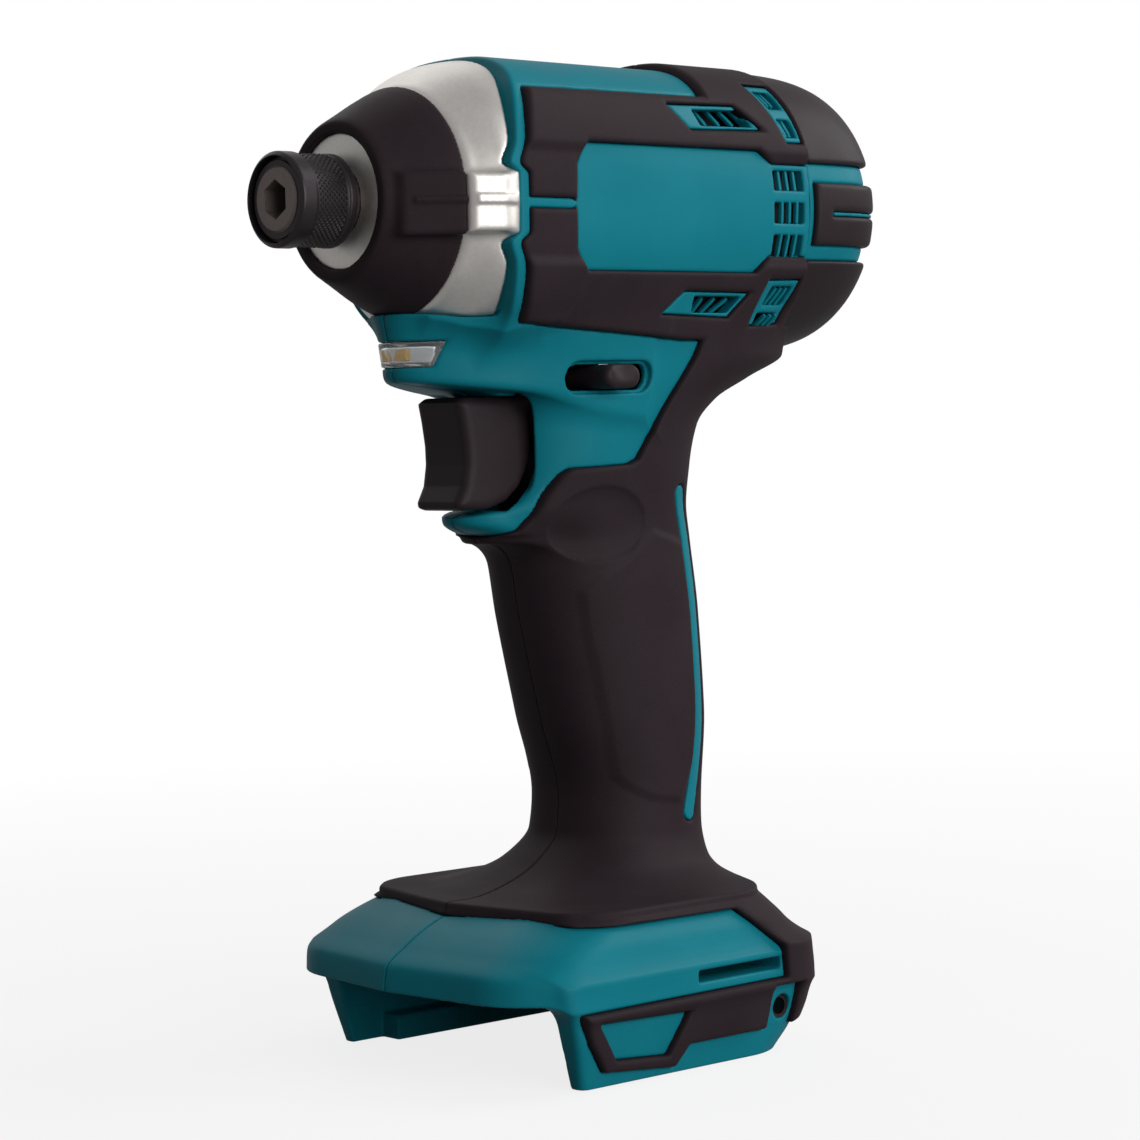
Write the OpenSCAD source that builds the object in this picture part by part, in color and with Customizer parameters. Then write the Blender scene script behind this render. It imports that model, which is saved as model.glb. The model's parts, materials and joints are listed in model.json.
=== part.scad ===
// Compact cordless impact driver without its battery, all sizes in millimetres.
// +X points out of the nose, +Y is the left side of the tool and +Z is up.
// The origin lies below the middle of the tool, level with the rail feet.

/* [Nose] */
// Length of the bit sleeve
sleeve_len = 13; // [12.5:0.5:16]
// Outer radius of the bit sleeve
sleeve_r = 8.8; // [8.6:0.1:10]
// How far the bit sleeve slides forward
sleeve_travel = 4; // [3:0.25:4.5]
// Gap between the bit sleeve and the hammer case
sleeve_gap = 2; // [1.5:0.25:3]
// Radius of the anvil barrel
anvil_r = 6.1; // [5.9:0.1:6.4]
// Width across the flats of the bit socket
hex_af = 6.4; // [6.35:0.05:6.5]
// Depth of the bit socket
socket_depth = 23; // [18:1:26]
// Radius of a bit retaining ball
bit_ball_r = 1.75; // [1.6:0.05:1.9]
// How far a bit retaining ball stands into the socket
bit_ball_bite = 0.6; // [0.4:0.05:0.7]
// Thickness of the sleeve washer and its retaining ring
sleeve_washer_t = 0.7; // [0.5:0.1:1]
// Wire radius of the sleeve spring
sleeve_wire = 0.3; // [0.25:0.05:0.4]

/* [Hammer case] */
// Radius of the case at its nose face
case_nose_r = 12.5; // [11.5:0.25:13.5]
// Length of the case cone ahead of the housing
case_cone_len = 18.5; // [16:0.5:22]
// Thickness of the case flange against the housing
case_flange_t = 2; // [1.5:0.25:3]
// Thickness of the case wall
case_wall = 2.6; // [2:0.2:3.2]
// Thickness of the soft nose bumper
bumper_t = 2.4; // [1.6:0.2:3]
// Length of the bush that the anvil turns in
bush_len = 15.5; // [12:0.5:18]
// Wall of the anvil bush
bush_wall = 2.4; // [1.6:0.2:3]
// Thickness of the anvil thrust washer
thrust_washer_t = 0.8; // [0.5:0.1:1.2]

/* [Impact mechanism] */
// Length of the anvil wings along the axis
wing_len = 5.5; // [4.5:0.5:7]
// Width of the anvil wings
wing_w = 9; // [7:0.5:10]
// Length of the hammer body
hammer_len = 17.5; // [16:0.5:22]
// Radial gap between the hammer and its case
hammer_gap = 1.6; // [1:0.2:2.4]
// How far the hammer runs back
hammer_travel = 8; // [6.5:0.5:9]
// Radius of the spindle shaft
spindle_r = 8; // [7.4:0.1:8.4]
// Wire radius of the hammer spring
hammer_wire = 1.5; // [1.2:0.1:1.7]
// Radius of a cam ball
cam_ball_r = 2.4; // [2:0.1:2.6]

/* [Gears and bearings] */
// Module of the planetary gears
gear_module = 0.8; // [0.76:0.01:0.84]
// Face width of the planet gears
gear_w = 5.4; // [4.5:0.3:7]
// Radius of a planet pin
pin_r = 2; // [1.6:0.1:2.4]
// Thickness of the carrier cheeks
cheek_t = 2.8; // [2.2:0.2:3.6]
// Width of the spindle bearing
spindle_brg_w = 5; // [4:0.5:7]
// Width of the motor bearings
motor_brg_w = 4.5; // [4:0.5:6]

/* [Motor] */
// Radius of the motor shaft
shaft_r = 2.5; // [2:0.1:2.8]
// Length of the cooling fan
fan_len = 6; // [5:0.5:8]
// Length of the rotor core
core_len = 20.2; // [16:0.2:26]
// Thickness of the motor yoke
yoke_wall = 1.7; // [1.3:0.1:2.2]
// Thickness of the magnets
magnet_t = 4.4; // [3.5:0.1:5]
// Length of the commutator
com_len = 6.5; // [6:0.5:9]
// Radius of the commutator
com_r = 8.2; // [7.5:0.1:9]

/* [Housing] */
// Radius of the barrel round the gears and the motor
barrel_r = 27.5; // [27:0.25:30]
// Thickness of the housing wall
wall = 2.4; // [2:0.1:2.7]
// Length of the rear cover
cover_len = 26.5; // [24:0.5:30]
// Thickness of the soft grip
grip_t = 1.5; // [1:0.1:1.8]
// Height of the neck from the trigger guard to the bit axis
neck_h = 57.5; // [56.5:0.5:62]
// Distance from the barrel front back to the trigger recess
recess_set = 19; // [17:0.5:20]

/* [Handle] */
// Height of the handle from the foot to the trigger guard
grip_h = 76; // [70:1:90]
// Depth of the handle, front to back
handle_depth = 39.5; // [38:0.5:44]
// Half width of the handle
handle_hw = 14.8; // [14.4:0.2:17]
// Half width of the trigger
trigger_hw = 7.4; // [6.8:0.2:8.6]
// How far the trigger stands ahead of its recess
trigger_reach = 18.5; // [17:0.5:21]
// How far the trigger can be pulled
trigger_travel = 6; // [4.5:0.5:6.5]
// Angle that the reversing lever swings to each side, in degrees
lever_swing = 9; // [6:0.5:10]

/* [Foot] */
// Height of the foot
foot_h = 30; // [28:0.5:34]
// Length of the foot, visor to heel
foot_len = 78; // [74:1:86]
// Half width of the foot
foot_hw = 38; // [36:0.5:42]
// Height of the dock above the rail feet
dock_h = 16.4; // [15.5:0.2:17.5]
// Height of the rail lips
lip_h = 5; // [4:0.25:6]
// How far the rail lips reach inward
lip_reach = 5; // [4:0.25:6]
// Radius of the tapped hole for the belt hook screw
hook_thread_r = 1.65; // [1.25:0.05:2.1]

/* [Hidden] */
// Cut overrun
over = 1;
// Fit of parts that are held
seat_gap = 0.05;
// Fit of shafts that turn or slide
run_gap = 0.05;
// Gap beside parts that move
move_gap = 0.3;
// Set back of one face behind another
step = 0.5;
// Facets of true round shapes
round_fn = 64;
// Facets of hulled slices
slice_fn = 28;

// Stations behind the nose face, in order along the bit axis
d_anvil = step;
d_clip = d_anvil + step;
d_sleeve_washer = d_clip + sleeve_washer_t + seat_gap;
ridge_back = 4.5;
d_ridge = sleeve_len - ridge_back;
ridge_len = 1.5;
d_bit_ball = d_ridge + ridge_len + seat_gap;
d_case = sleeve_len + sleeve_gap;
d_bush = d_case + over;
d_cavity = d_bush + bush_len + step;
d_wing = d_cavity + thrust_washer_t + 2 * seat_gap;
d_hammer = d_wing + wing_len + move_gap;
d_hammer_end = d_hammer + hammer_len;
spring_room = 5;
d_cheek = d_hammer_end + hammer_travel + spring_room;
d_gear = d_cheek + cheek_t + move_gap;
d_cheek_2 = d_gear + gear_w + move_gap;
d_hub = d_cheek_2 + cheek_t;
d_spindle_brg = d_hub + seat_gap;
d_box_web = d_spindle_brg + spindle_brg_w + seat_gap;
box_web = 1;
d_front_brg = d_box_web + box_web;
d_box_end = d_front_brg + motor_brg_w + step;
d_fan = d_box_end + move_gap;
d_winding = d_fan + fan_len + step;
winding_len = 1.8;
d_core = d_winding + winding_len;
d_core_end = d_core + core_len;
d_winding_end = d_core_end + winding_len;
d_plate = d_winding_end + step;
plate_t = 2.2;
d_com = d_winding_end + step;
d_rear_brg = d_com + com_len + step;
d_rear_brg_end = d_rear_brg + motor_brg_w;
cover_wall = 2.2;
overall_len = d_rear_brg_end + seat_gap + cover_wall;
nose_x = overall_len / 2;
d_barrel = d_case + case_cone_len + case_flange_t;
d_seam = overall_len - cover_len;
barrel_len = d_seam - d_barrel;
barrel_x = nose_x - d_barrel;

// Heights
guard_z = foot_h + grip_h;
axis_z = guard_z + neck_h;
trigger_h = 21;
trigger_z = guard_z + move_gap;
switch_h = 19.5;
switch_z = guard_z;
lever_h = 4.6;
lever_lift = 2.6;
lever_z = switch_z + switch_h + lever_lift;

// Radii from the barrel inward
bore_r = barrel_r - wall;
skirt_r = bore_r - move_gap;
cavity_r = skirt_r - case_wall;
hammer_r = cavity_r - hammer_gap;
rib_h = 1.8;
yoke_r = bore_r - rib_h;
magnet_r = yoke_r - yoke_wall;
air_gap = 0.7;
core_r = magnet_r - magnet_t - air_gap;
case_flange_r = barrel_r - 3 * step;
bush_r = anvil_r + run_gap + bush_wall;
fan_r = yoke_r - step;

// Gear sizes from the module
sun_teeth = 9;
planet_teeth = 18;
ring_teeth = sun_teeth + 2 * planet_teeth;
planet_count = 3;
addendum_share = 0.6;
dedendum_share = 0.9;
pressure_angle = 20;
tooth_gap = 0.06;
sun_pitch_r = gear_module * sun_teeth / 2;
planet_pitch_r = gear_module * planet_teeth / 2;
ring_pitch_r = gear_module * ring_teeth / 2;
centre_r = sun_pitch_r + planet_pitch_r;
planet_tip_r = planet_pitch_r + gear_module * addendum_share;
cheek_r = ring_pitch_r - gear_module * addendum_share - over;
planet_turn = 90;
ring_gear_r = cavity_r - seat_gap;
hub_r = 7.45;
hub_bore_r = 5;
hub_brg_r = 12;
front_brg_r = 8;
front_brg_lip = 2;
rear_brg_r = 6.5;

// Handle datum
recess_x = barrel_x - recess_set;

// Colours
teal = [0.10, 0.47, 0.55];
rubber = [0.16, 0.14, 0.15];
cast = [0.66, 0.65, 0.62];
steel = [0.52, 0.53, 0.55];
dark_steel = [0.12, 0.12, 0.13];
bronze = [0.62, 0.47, 0.26];
copper = [0.72, 0.40, 0.22];
black = [0.09, 0.09, 0.10];
clear = [0.86, 0.90, 0.92];

// Places a shape whose own z runs back from the nose along the bit axis
module along(d) {
  translate([nose_x - d, 0, axis_z])
    rotate([0, -90, 0])
      children();
}

// Turned shape from points of radius and distance behind the nose
module turned(points) {
  along(0)
    rotate_extrude($fn = round_fn)
      polygon(points);
}

// Plain ring between two radii and two stations
module ring(r_in, r_out, d0, d1) {
  turned([[r_in, d0], [r_out, d0], [r_out, d1], [r_in, d1]]);
}

// Points of a superellipse
function squircle(a, b, n) = [
  for (i = [0 : slice_fn - 1])
    let (t = 360 * (i + 0.5) / slice_fn, c = cos(t), s = sin(t))
      [a * sign(c) * pow(abs(c), 2 / n), b * sign(s) * pow(abs(s), 2 / n)]
];

// Tube swept along points with a steady side direction
function unit(v) = v / norm(v);
function tangent(p, i) = unit(p[min(i + 1, len(p) - 1)] - p[max(i - 1, 0)]);
module sweep(p, r, sides, up) {
  n = len(p);
  rings = [
    for (i = [0 : n - 1])
      let (t = tangent(p, i), u = unit(cross(up, t)), v = cross(t, u))
        for (k = [0 : sides - 1])
          p[i] + r * cos(360 * k / sides) * u + r * sin(360 * k / sides) * v
  ];
  walls = [
    for (i = [0 : n - 2])
      for (k = [0 : sides - 1])
        let (a = i * sides + k, b = i * sides + (k + 1) % sides)
          for (f = [[a, a + sides, b], [b, a + sides, b + sides]])
            f
  ];
  ends = concat(
    [for (k = [1 : sides - 2]) [0, k, k + 1]],
    [for (k = [1 : sides - 2]) [(n - 1) * sides, (n - 1) * sides + k + 1, (n - 1) * sides + k]]
  );
  polyhedron(points = rings, faces = concat(walls, ends));
}

// Coil spring that stands on z = 0
coil_steps = 12;
coil_sides = 6;
module coil(r, wire, height, turns) {
  steps = coil_steps * turns;
  rise = height - 2 * wire;
  points = [
    for (i = [0 : steps])
      [r * cos(360 * i / coil_steps), r * sin(360 * i / coil_steps), wire + rise * i / steps]
  ];
  echo("least gap between turns", rise / turns - 2 * wire);
  sweep(points, wire, coil_sides, [0, 0, 1]);
}

// Slice of the handle or neck: height, front, back, half width, thickness
slice_t = 0.1;
body_power = 2.6;
module body_slice(z, xf, xb, hw, g) {
  translate([(xf + xb) / 2, 0, z - slice_t / 2])
    linear_extrude(slice_t)
      polygon(squircle((xf - xb) / 2 + g, hw + g, body_power));
}

// Neck and handle rows: height share, front and back depth shares, width share
neck_shares = [
  [0.765, -0.34, 1.39, 1.50], [0.59, -0.29, 1.395, 1.46], [0.487, -0.15, 1.38, 1.40],
  [0.417, -0.05, 1.31, 1.34], [0.348, -0.01, 1.12, 1.27], [0.261, 0, 1.01, 1.20],
  [0.122, -0.01, 0.967, 1.12], [0, -0.044, 0.96, 1.05]
];
handle_shares = [
  [1, -0.044, 0.96, 1.05], [0.908, 0.004, 0.975, 1], [0.71, 0.068, 1.02, 1], [0.46, 0.184, 1.037, 1],
  [0.25, 0.288, 0.997, 0.97], [0.158, 0.26, 0.992, 1.01], [0.079, 0.06, 1.009, 1.28],
  [0.0, -0.27, 1.045, 1.85]
];
module neck_slice(i, g) {
  s = neck_shares[i];
  body_slice(guard_z + s[0] * neck_h, recess_x - s[1] * handle_depth,
    recess_x - s[2] * handle_depth, s[3] * handle_hw, g);
}
module handle_slice(i, g) {
  s = handle_shares[i];
  body_slice(foot_h + s[0] * grip_h, recess_x - s[1] * handle_depth,
    recess_x - s[2] * handle_depth, s[3] * handle_hw, g);
}
module grip_column(g) {
  for (i = [0 : len(neck_shares) - 2])
    hull() {
      neck_slice(i, g);
      neck_slice(i + 1, g);
    }
  for (i = [0 : len(handle_shares) - 2])
    hull() {
      handle_slice(i, g);
      handle_slice(i + 1, g);
    }
}

// Barrel, squarer at the front than at the rear
front_power = 3.4;
rear_power = 2.15;
module barrel(g) {
  hull() {
    along(d_barrel)
      linear_extrude(slice_t)
        polygon(squircle(barrel_r + g, barrel_r + g, front_power));
    along(d_seam - slice_t)
      linear_extrude(slice_t)
        polygon(squircle(barrel_r + g, barrel_r + g, rear_power));
  }
}

// Chin under the hammer case that carries the lamp
chin_len = 29.6;
chin_h = 9;
chin_top = 3;
chin_z = axis_z - barrel_r - chin_h + chin_top;
chin_nose_w = 7;
chin_nose_back = 4;
chin_top_share = 1.35;
chin_mid_share = 1.25;
chin_low_share = 1.18;
module chin_slice(z, lead, hw, g) {
  x = recess_x + lead;
  translate([0, 0, z - slice_t / 2])
    linear_extrude(slice_t)
      polygon([
        [x + g, chin_nose_w], [x + g, -chin_nose_w],
        [x - chin_nose_back, -chin_nose_w - chin_nose_back / 2 - g], [recess_x, -hw - g],
        [recess_x - chin_len / 2, -hw - g], [recess_x - chin_len / 2, hw + g],
        [recess_x, hw + g], [x - chin_nose_back, chin_nose_w + chin_nose_back / 2 + g]
      ]);
}
module chin(g) {
  hull() {
    chin_slice(chin_z + chin_h + chin_top, chin_len - chin_top, chin_top_share * handle_hw, g);
    chin_slice(chin_z + chin_h, chin_len, chin_top_share * handle_hw, g);
    chin_slice(chin_z + chin_top / 2, chin_len - chin_top / 2, chin_mid_share * handle_hw, g);
    chin_slice(chin_z, chin_len - chin_top, chin_low_share * handle_hw, g);
  }
}

// Guard lip under the trigger
guard_lead = 14.5;
guard_hw = 9;
guard_t = 5.5;
module guard_lip(g) {
  hull() {
    body_slice(guard_z, recess_x + guard_lead, recess_x - guard_hw, guard_hw, g);
    body_slice(guard_z - guard_t / 3, recess_x + guard_lead - step, recess_x - guard_hw, guard_hw, g);
    body_slice(guard_z - guard_t, recess_x + guard_hw, recess_x - guard_hw, guard_hw, g);
  }
}

// Foot rows: height share, front and back length shares, half width share, corner share
foot_lead = 33;
rail_shares = [
  [0, 0.205, 0.912, 0.95, 0.10], [0.43, 0.167, 1.005, 1, 0.22], [0.62, 0.167, 1.008, 0.99, 0.24]
];
visor_shares = [
  [0.547, 0, 1.006, 0.98, 0.24], [0.70, 0.005, 1.004, 0.985, 0.24], [0.83, 0.07, 0.97, 0.955, 0.23],
  [1, 0.205, 0.925, 0.86, 0.22]
];
module foot_slice(s, g) {
  xf = recess_x + foot_lead - s[1] * foot_len + g;
  xb = recess_x + foot_lead - s[2] * foot_len - g;
  hw = s[3] * foot_hw + g;
  c = s[4] * foot_hw;
  z = s[0] * foot_h + (s[0] == 1 ? g : 0);
  translate([0, 0, s[0] == 0 ? 0 : z - slice_t])
    linear_extrude(slice_t)
      polygon([
        [xf, c - hw], [xf, hw - c], [xf - c / 2, hw - c / 4], [xf - c, hw],
        [xb + c, hw], [xb + c / 4, hw - c / 2], [xb, hw - c * 1.5],
        [xb, c * 1.5 - hw], [xb + c / 4, c / 2 - hw], [xb + c, -hw],
        [xf - c, -hw], [xf - c / 2, c / 4 - hw]
      ]);
}
module foot(g) {
  for (i = [0, 1])
    hull() {
      foot_slice(rail_shares[i], g);
      foot_slice(rail_shares[i + 1], g);
    }
  for (i = [0 : len(visor_shares) - 2])
    hull() {
      foot_slice(visor_shares[i], g);
      foot_slice(visor_shares[i + 1], g);
    }
}

// Whole outer form and the hollow inside it
module outer_form(g) {
  barrel(g);
  grip_column(g);
  chin(g);
  guard_lip(g);
  foot(g);
}
dock_roof_t = 2.5;
block_flange = 1.6;
module hollow() {
  along(d_barrel - over)
    cylinder(h = barrel_len + 2 * over, r = bore_r, $fn = round_fn);
  grip_column(-wall);
  hull()
    for (drop = [0, 2 * wall])
      translate([0, 0, -drop])
        handle_slice(len(handle_shares) - 1, -wall);
  intersection() {
    chin(-wall);
    translate([-foot_len, -foot_hw, chin_z + wall])
      cube([2 * foot_len, 2 * foot_hw, barrel_r]);
  }
  intersection() {
    foot(-wall);
    translate([-foot_len, -foot_hw, dock_h + dock_roof_t])
      cube([2 * foot_len, 2 * foot_hw, foot_h]);
  }
}

// Dock for the battery, open to the front and below
rail_pad = 2.6;
dock_hw = foot_hw - wall - rail_pad;
dock_back = recess_x + foot_lead - 0.94 * foot_len;
module dock() {
  translate([dock_back, -dock_hw, lip_h])
    cube([2 * foot_len, 2 * dock_hw, dock_h - lip_h]);
  translate([dock_back, lip_reach - dock_hw, -over])
    cube([2 * foot_len, 2 * (dock_hw - lip_reach), lip_h + 2 * over]);
}

// Screw bosses: x and z as named places on the halves
boss_r = 4;
screw_r = 1.5;
screw_head_r = 2.8;
screw_head_h = 2.2;
screw_seat = 9;
screw_reach = 9.5;
boss_spots = [
  [recess_x + chin_len * 0.34, chin_z + chin_h * 0.47],
  [recess_x - handle_depth * 1.06, guard_z + neck_h * 0.45],
  [recess_x - handle_depth * 0.77, guard_z - boss_r * 2.45],
  [recess_x - handle_depth * 0.86, foot_h + grip_h * 0.38],
  [recess_x + foot_lead - foot_len * 0.36, dock_h + dock_roof_t + boss_r * 0.8],
  [recess_x + foot_lead - foot_len * 0.87, dock_h + dock_roof_t + block_flange + boss_r + 2 * move_gap]
];
module on_bosses() {
  for (s = boss_spots)
    translate([s[0], 0, s[1]])
      rotate([-90, 0, 0])
        children();
}
module bosses() {
  on_bosses()
    translate([0, 0, -foot_hw])
      cylinder(h = 2 * foot_hw, r = boss_r, $fn = slice_fn);
}
module screw_holes() {
  on_bosses() {
    translate([0, 0, -screw_seat - over])
      cylinder(h = screw_seat + screw_reach + 2 * over, r = screw_r + seat_gap, $fn = slice_fn);
    translate([0, 0, -foot_hw - over])
      cylinder(h = foot_hw + over - screw_seat, r = screw_head_r + seat_gap, $fn = slice_fn);
  }
}

// Ribs that hold the motor and the switch
rib_t = 2;
rib_hw = 2;
module ribs() {
  for (d = [d_core + 2 * rib_t, d_core + 5 * rib_t])
    along(d)
      difference() {
        cylinder(h = rib_t, r = bore_r + step, $fn = round_fn);
        translate([-barrel_r - over, -barrel_r / 3, -over])
          cube([barrel_r, 2 * barrel_r / 3, rib_t + 2 * over]);
      }
  for (x = [switch_back + rib_t, switch_back + switch_len - 2 * rib_t])
    for (y = [-1, 1])
      translate([x, y > 0 ? switch_hw + seat_gap : -foot_hw, switch_z + rib_t])
        cube([rib_t, foot_hw - switch_hw - seat_gap, switch_h - 2 * rib_t]);
}

// Openings for the trigger and the reversing lever
lever_set = 8.7;
lever_x = recess_x - lever_set;
lever_w = 9;
lever_reach = 24;
lever_pivot_back = 18.3;
lever_slot = lever_w / 2 + lever_reach * sin(lever_swing) + 2 * step;
module hand_openings() {
  translate([recess_x - handle_hw, -trigger_hw - move_gap, guard_z])
    cube([handle_depth, 2 * (trigger_hw + move_gap), chin_z - guard_z + step]);
  translate([lever_x - lever_slot, -foot_hw, lever_z - step])
    cube([2 * lever_slot, 2 * foot_hw, lever_h + 2 * step]);
}

// Cooling slots through one side of the barrel
slit_w = 1.3;
slit_pitch = 2.6;
side_slit_l = 3.6;
window_slit_l = 4.4;
module slits(d, turn, count, length) {
  for (i = [0 : count - 1])
    along(d + i * slit_pitch)
      rotate([0, 0, turn])
        translate([bore_r - wall, -length / 2, 0])
          cube([4 * wall, length, slit_w]);
}
side_slit_set = 11;
d_side_slits = d_seam - side_slit_set;
d_window = d_barrel + barrel_len * 0.62;
shoulder_set = 9.5;
d_shoulder = d_seam - shoulder_set;
module cooling_slots() {
  for (side = [-1, 1]) {
    for (turn = [77, 90, 103])
      slits(d_side_slits, side * turn, 4, side_slit_l);
    for (turn = [53, 127])
      slits(d_window, side * turn, 4, window_slit_l);
  }
}
module shoulder_slots() {
  for (side = [-1, 1])
    for (turn = [34, 44])
      slits(d_shoulder, side * turn, 3, side_slit_l);
}

// Hook slots and pockets for the hook inserts
hook_slot_l = 21;
hook_slot_h = 2;
hook_slot_deep = 4;
hook_set = 33.1;
hook_x = recess_x - hook_set;
hook_z = 8.9;
insert_r = 3.2;
hook_hole_r = 2.4;
insert_len = 3.4;
insert_set = 1.4;
module hook_cuts() {
  for (side = [-1, 1]) {
    translate([hook_x + step, side * foot_hw - hook_slot_deep, dock_h + step / 2])
      cube([hook_slot_l, 2 * hook_slot_deep, hook_slot_h]);
    translate([hook_x, 0, hook_z])
      rotate([side * -90, 0, 0])
        translate([0, 0, foot_hw - insert_set - insert_len - over])
          cylinder(h = insert_len + over, r = insert_r + seat_gap, $fn = slice_fn);
    translate([hook_x, 0, hook_z])
      rotate([side * -90, 0, 0])
        translate([0, 0, foot_hw - insert_set - insert_len])
          cylinder(h = insert_len + over * 4, r = hook_hole_r, $fn = slice_fn);
  }
}
module hook_bosses() {
  for (side = [-1, 1])
    translate([hook_x, 0, hook_z])
      rotate([side * -90, 0, 0])
        translate([0, 0, foot_hw - insert_set - insert_len - rib_t])
          cylinder(h = insert_len, r = insert_r + rib_t, $fn = slice_fn);
}

// Lamp window in the chin
lens_deep = 5;
lens_h = 4.6;
lens_lift = 2;
lens_z = chin_z + lens_lift;
module lamp_cut() {
  translate([recess_x + chin_len - 3 * lens_deep, -chin_nose_w + step, lens_z])
    cube([chin_len, 2 * chin_nose_w - 2 * step, lens_h]);
}

// Terminal opening through the dock roof
block_len = 19;
block_hw = 15;
block_set = 2;
block_x = dock_back + block_set;
block_h = 14.5;
block_drop = 10;
module terminal_cut() {
  translate([block_x - seat_gap, -block_hw - seat_gap, dock_h - over])
    cube([block_len + 2 * seat_gap, 2 * (block_hw + seat_gap), dock_roof_t + 2 * over]);
}

// One half of the clamshell, side 1 is left
module housing_half(side) {
  color(teal)
    difference() {
      union() {
        difference() {
          outer_form(0);
          hollow();
        }
        intersection() {
          outer_form(-step);
          union() {
            bosses();
            ribs();
            hook_bosses();
          }
        }
      }
      dock();
      hand_openings();
      cooling_slots();
      shoulder_slots();
      screw_holes();
      hook_cuts();
      lamp_cut();
      terminal_cut();
      along(d_barrel - chin_len)
        cylinder(h = chin_len + d_seam - d_barrel + over, r = yoke_r + seat_gap, $fn = round_fn);
      along(d_barrel - chin_len)
        cylinder(h = chin_len, r = case_flange_r + step, $fn = round_fn);
      translate([-overall_len, side > 0 ? -2 * foot_hw : 0, -over])
        cube([2 * overall_len, 2 * foot_hw, 2 * axis_z]);
    }
}
module housing_left() {
  housing_half(1);
}
module housing_right() {
  housing_half(-1);
}

// Side outline of the soft grip: barrel panel, grip and foot parts
panel_shares = [
  [0.045, 0.70], [0.70, 0.70], [0.83, 1.2], [0.995, 1.2], [0.995, -0.95], [0.60, -0.95], [0.045, -0.80]
];
badge_shares = [[0.22, 0.36], [0.98, 0.36], [0.98, -0.38], [0.22, -0.49], [0.18, -0.30], [0.18, 0.20]];
upper_window_shares = [[0.53, 0.66], [0.84, 0.66], [0.87, 0.49], [0.56, 0.49]];
lower_window_shares = [[0.50, -0.61], [0.82, -0.61], [0.79, -0.78], [0.47, -0.78]];
neck_grip_shares = [[1.6, 0.61], [0.80, 0.58], [0.31, 0.165], [-0.12, 0.123], [-0.19, 0.08]];
hand_grip_shares = [[-0.30, 0.975], [-0.50, 0.90], [-0.60, 0.3]];
foot_grip_shares = [[-0.29, 0.975], [0.60, 0.975], [0.82, 0.70], [0.83, 0.47], [1.6, 0.47]];
strip_shares = [
  [0.18, 0.48], [0.20, 0.10], [0.485, 0.06], [0.53, 0.21], [0.98, 0.18], [1.2, 0.18], [1.2, 0.50]
];
module panel_outline(shares) {
  polygon([for (s = shares) [barrel_x - s[0] * barrel_len, axis_z + s[1] * barrel_r]]);
}
module grip_outline() {
  difference() {
    union() {
      panel_outline(panel_shares);
      polygon(concat(
        [for (s = neck_grip_shares) [recess_x - s[0] * handle_depth, guard_z + s[1] * neck_h]],
        [for (s = hand_grip_shares) [recess_x - s[0] * handle_depth, foot_h + s[1] * grip_h]],
        [for (s = foot_grip_shares) [recess_x - s[0] * handle_depth, s[1] * foot_h]]
      ));
    }
    panel_outline(badge_shares);
    panel_outline(upper_window_shares);
    panel_outline(lower_window_shares);
  }
  polygon([for (s = strip_shares) [recess_x + foot_lead - s[0] * foot_len, s[1] * foot_h]]);
}
module grip_half(side) {
  color(rubber)
    difference() {
      intersection() {
        outer_form(grip_t);
        rotate([90, 0, 0])
          translate([0, 0, -foot_hw * 2])
            linear_extrude(foot_hw * 4)
              grip_outline();
      }
      outer_form(seat_gap);
      dock();
      hand_openings();
      screw_holes();
      shoulder_slots();
      hook_cuts();
      along(d_seam - seat_gap)
        cylinder(h = cover_len + over, r = 2 * barrel_r, $fn = round_fn);
      along(d_barrel - chin_len)
        cylinder(h = chin_len, r = 2 * barrel_r, $fn = round_fn);
      translate([-overall_len, side > 0 ? -2 * foot_hw : 0, -over])
        cube([2 * overall_len, 2 * foot_hw, 2 * axis_z]);
      translate([-overall_len, -foot_hw * 2, -over])
        cube([2 * overall_len, foot_hw * 4, over]);
    }
}
module grip_left() {
  grip_half(1);
}
module grip_right() {
  grip_half(-1);
}

// Rear cover with the seat of the rear bearing and two screw holes
cover_shares = [[0, 1], [0.35, 0.985], [0.62, 0.93], [0.80, 0.84], [0.92, 0.70], [1, 0.52]];
cover_screw_r = 18;
cover_screw_turn = 45;
d_cover_seat = overall_len - cover_wall - 2 * rib_t;
plate_boss_h = 3.5;
module cover_points(g, d_add) {
  turned(concat(
    [[0, d_seam + d_add]],
    [for (s = cover_shares) [s[1] * barrel_r - g, d_seam + d_add + s[0] * (cover_len - g - d_add)]],
    [[0, overall_len - g]]
  ));
}
// Pads that stand on the cover above, below and beside its teal bands
pad_shares = [[0.02, 1.035], [0.35, 1.03], [0.62, 1], [0.80, 0.925], [0.92, 0.80], [0.98, 0.66]];
pad_upper = 8.2;
pad_lower = 10.8;
pad_mid_top = 4.4;
pad_mid_low = 7.9;
pad_mid_y = 9;
module cover_pads() {
  intersection() {
    turned(concat(
      [[0, d_seam + pad_shares[0][0] * cover_len]],
      [for (s = pad_shares) [s[1] * barrel_r, d_seam + s[0] * cover_len]],
      [[0, d_seam + pad_shares[len(pad_shares) - 1][0] * cover_len]]
    ));
    translate([-overall_len, 0, axis_z])
      union() {
        translate([0, -2 * barrel_r, pad_upper])
          cube([overall_len, 4 * barrel_r, 2 * barrel_r]);
        translate([0, -2 * barrel_r, -pad_lower - 2 * barrel_r])
          cube([overall_len, 4 * barrel_r, 2 * barrel_r]);
        for (y = [pad_mid_y, -pad_mid_y - 2 * barrel_r])
          translate([0, y, -pad_mid_low])
            cube([overall_len, 2 * barrel_r, pad_mid_low + pad_mid_top]);
      }
  }
}
module on_cover_screws(d) {
  for (turn = [0, 180])
    along(d)
      rotate([0, 0, cover_screw_turn + turn])
        translate([cover_screw_r, 0, 0])
          children();
}
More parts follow.
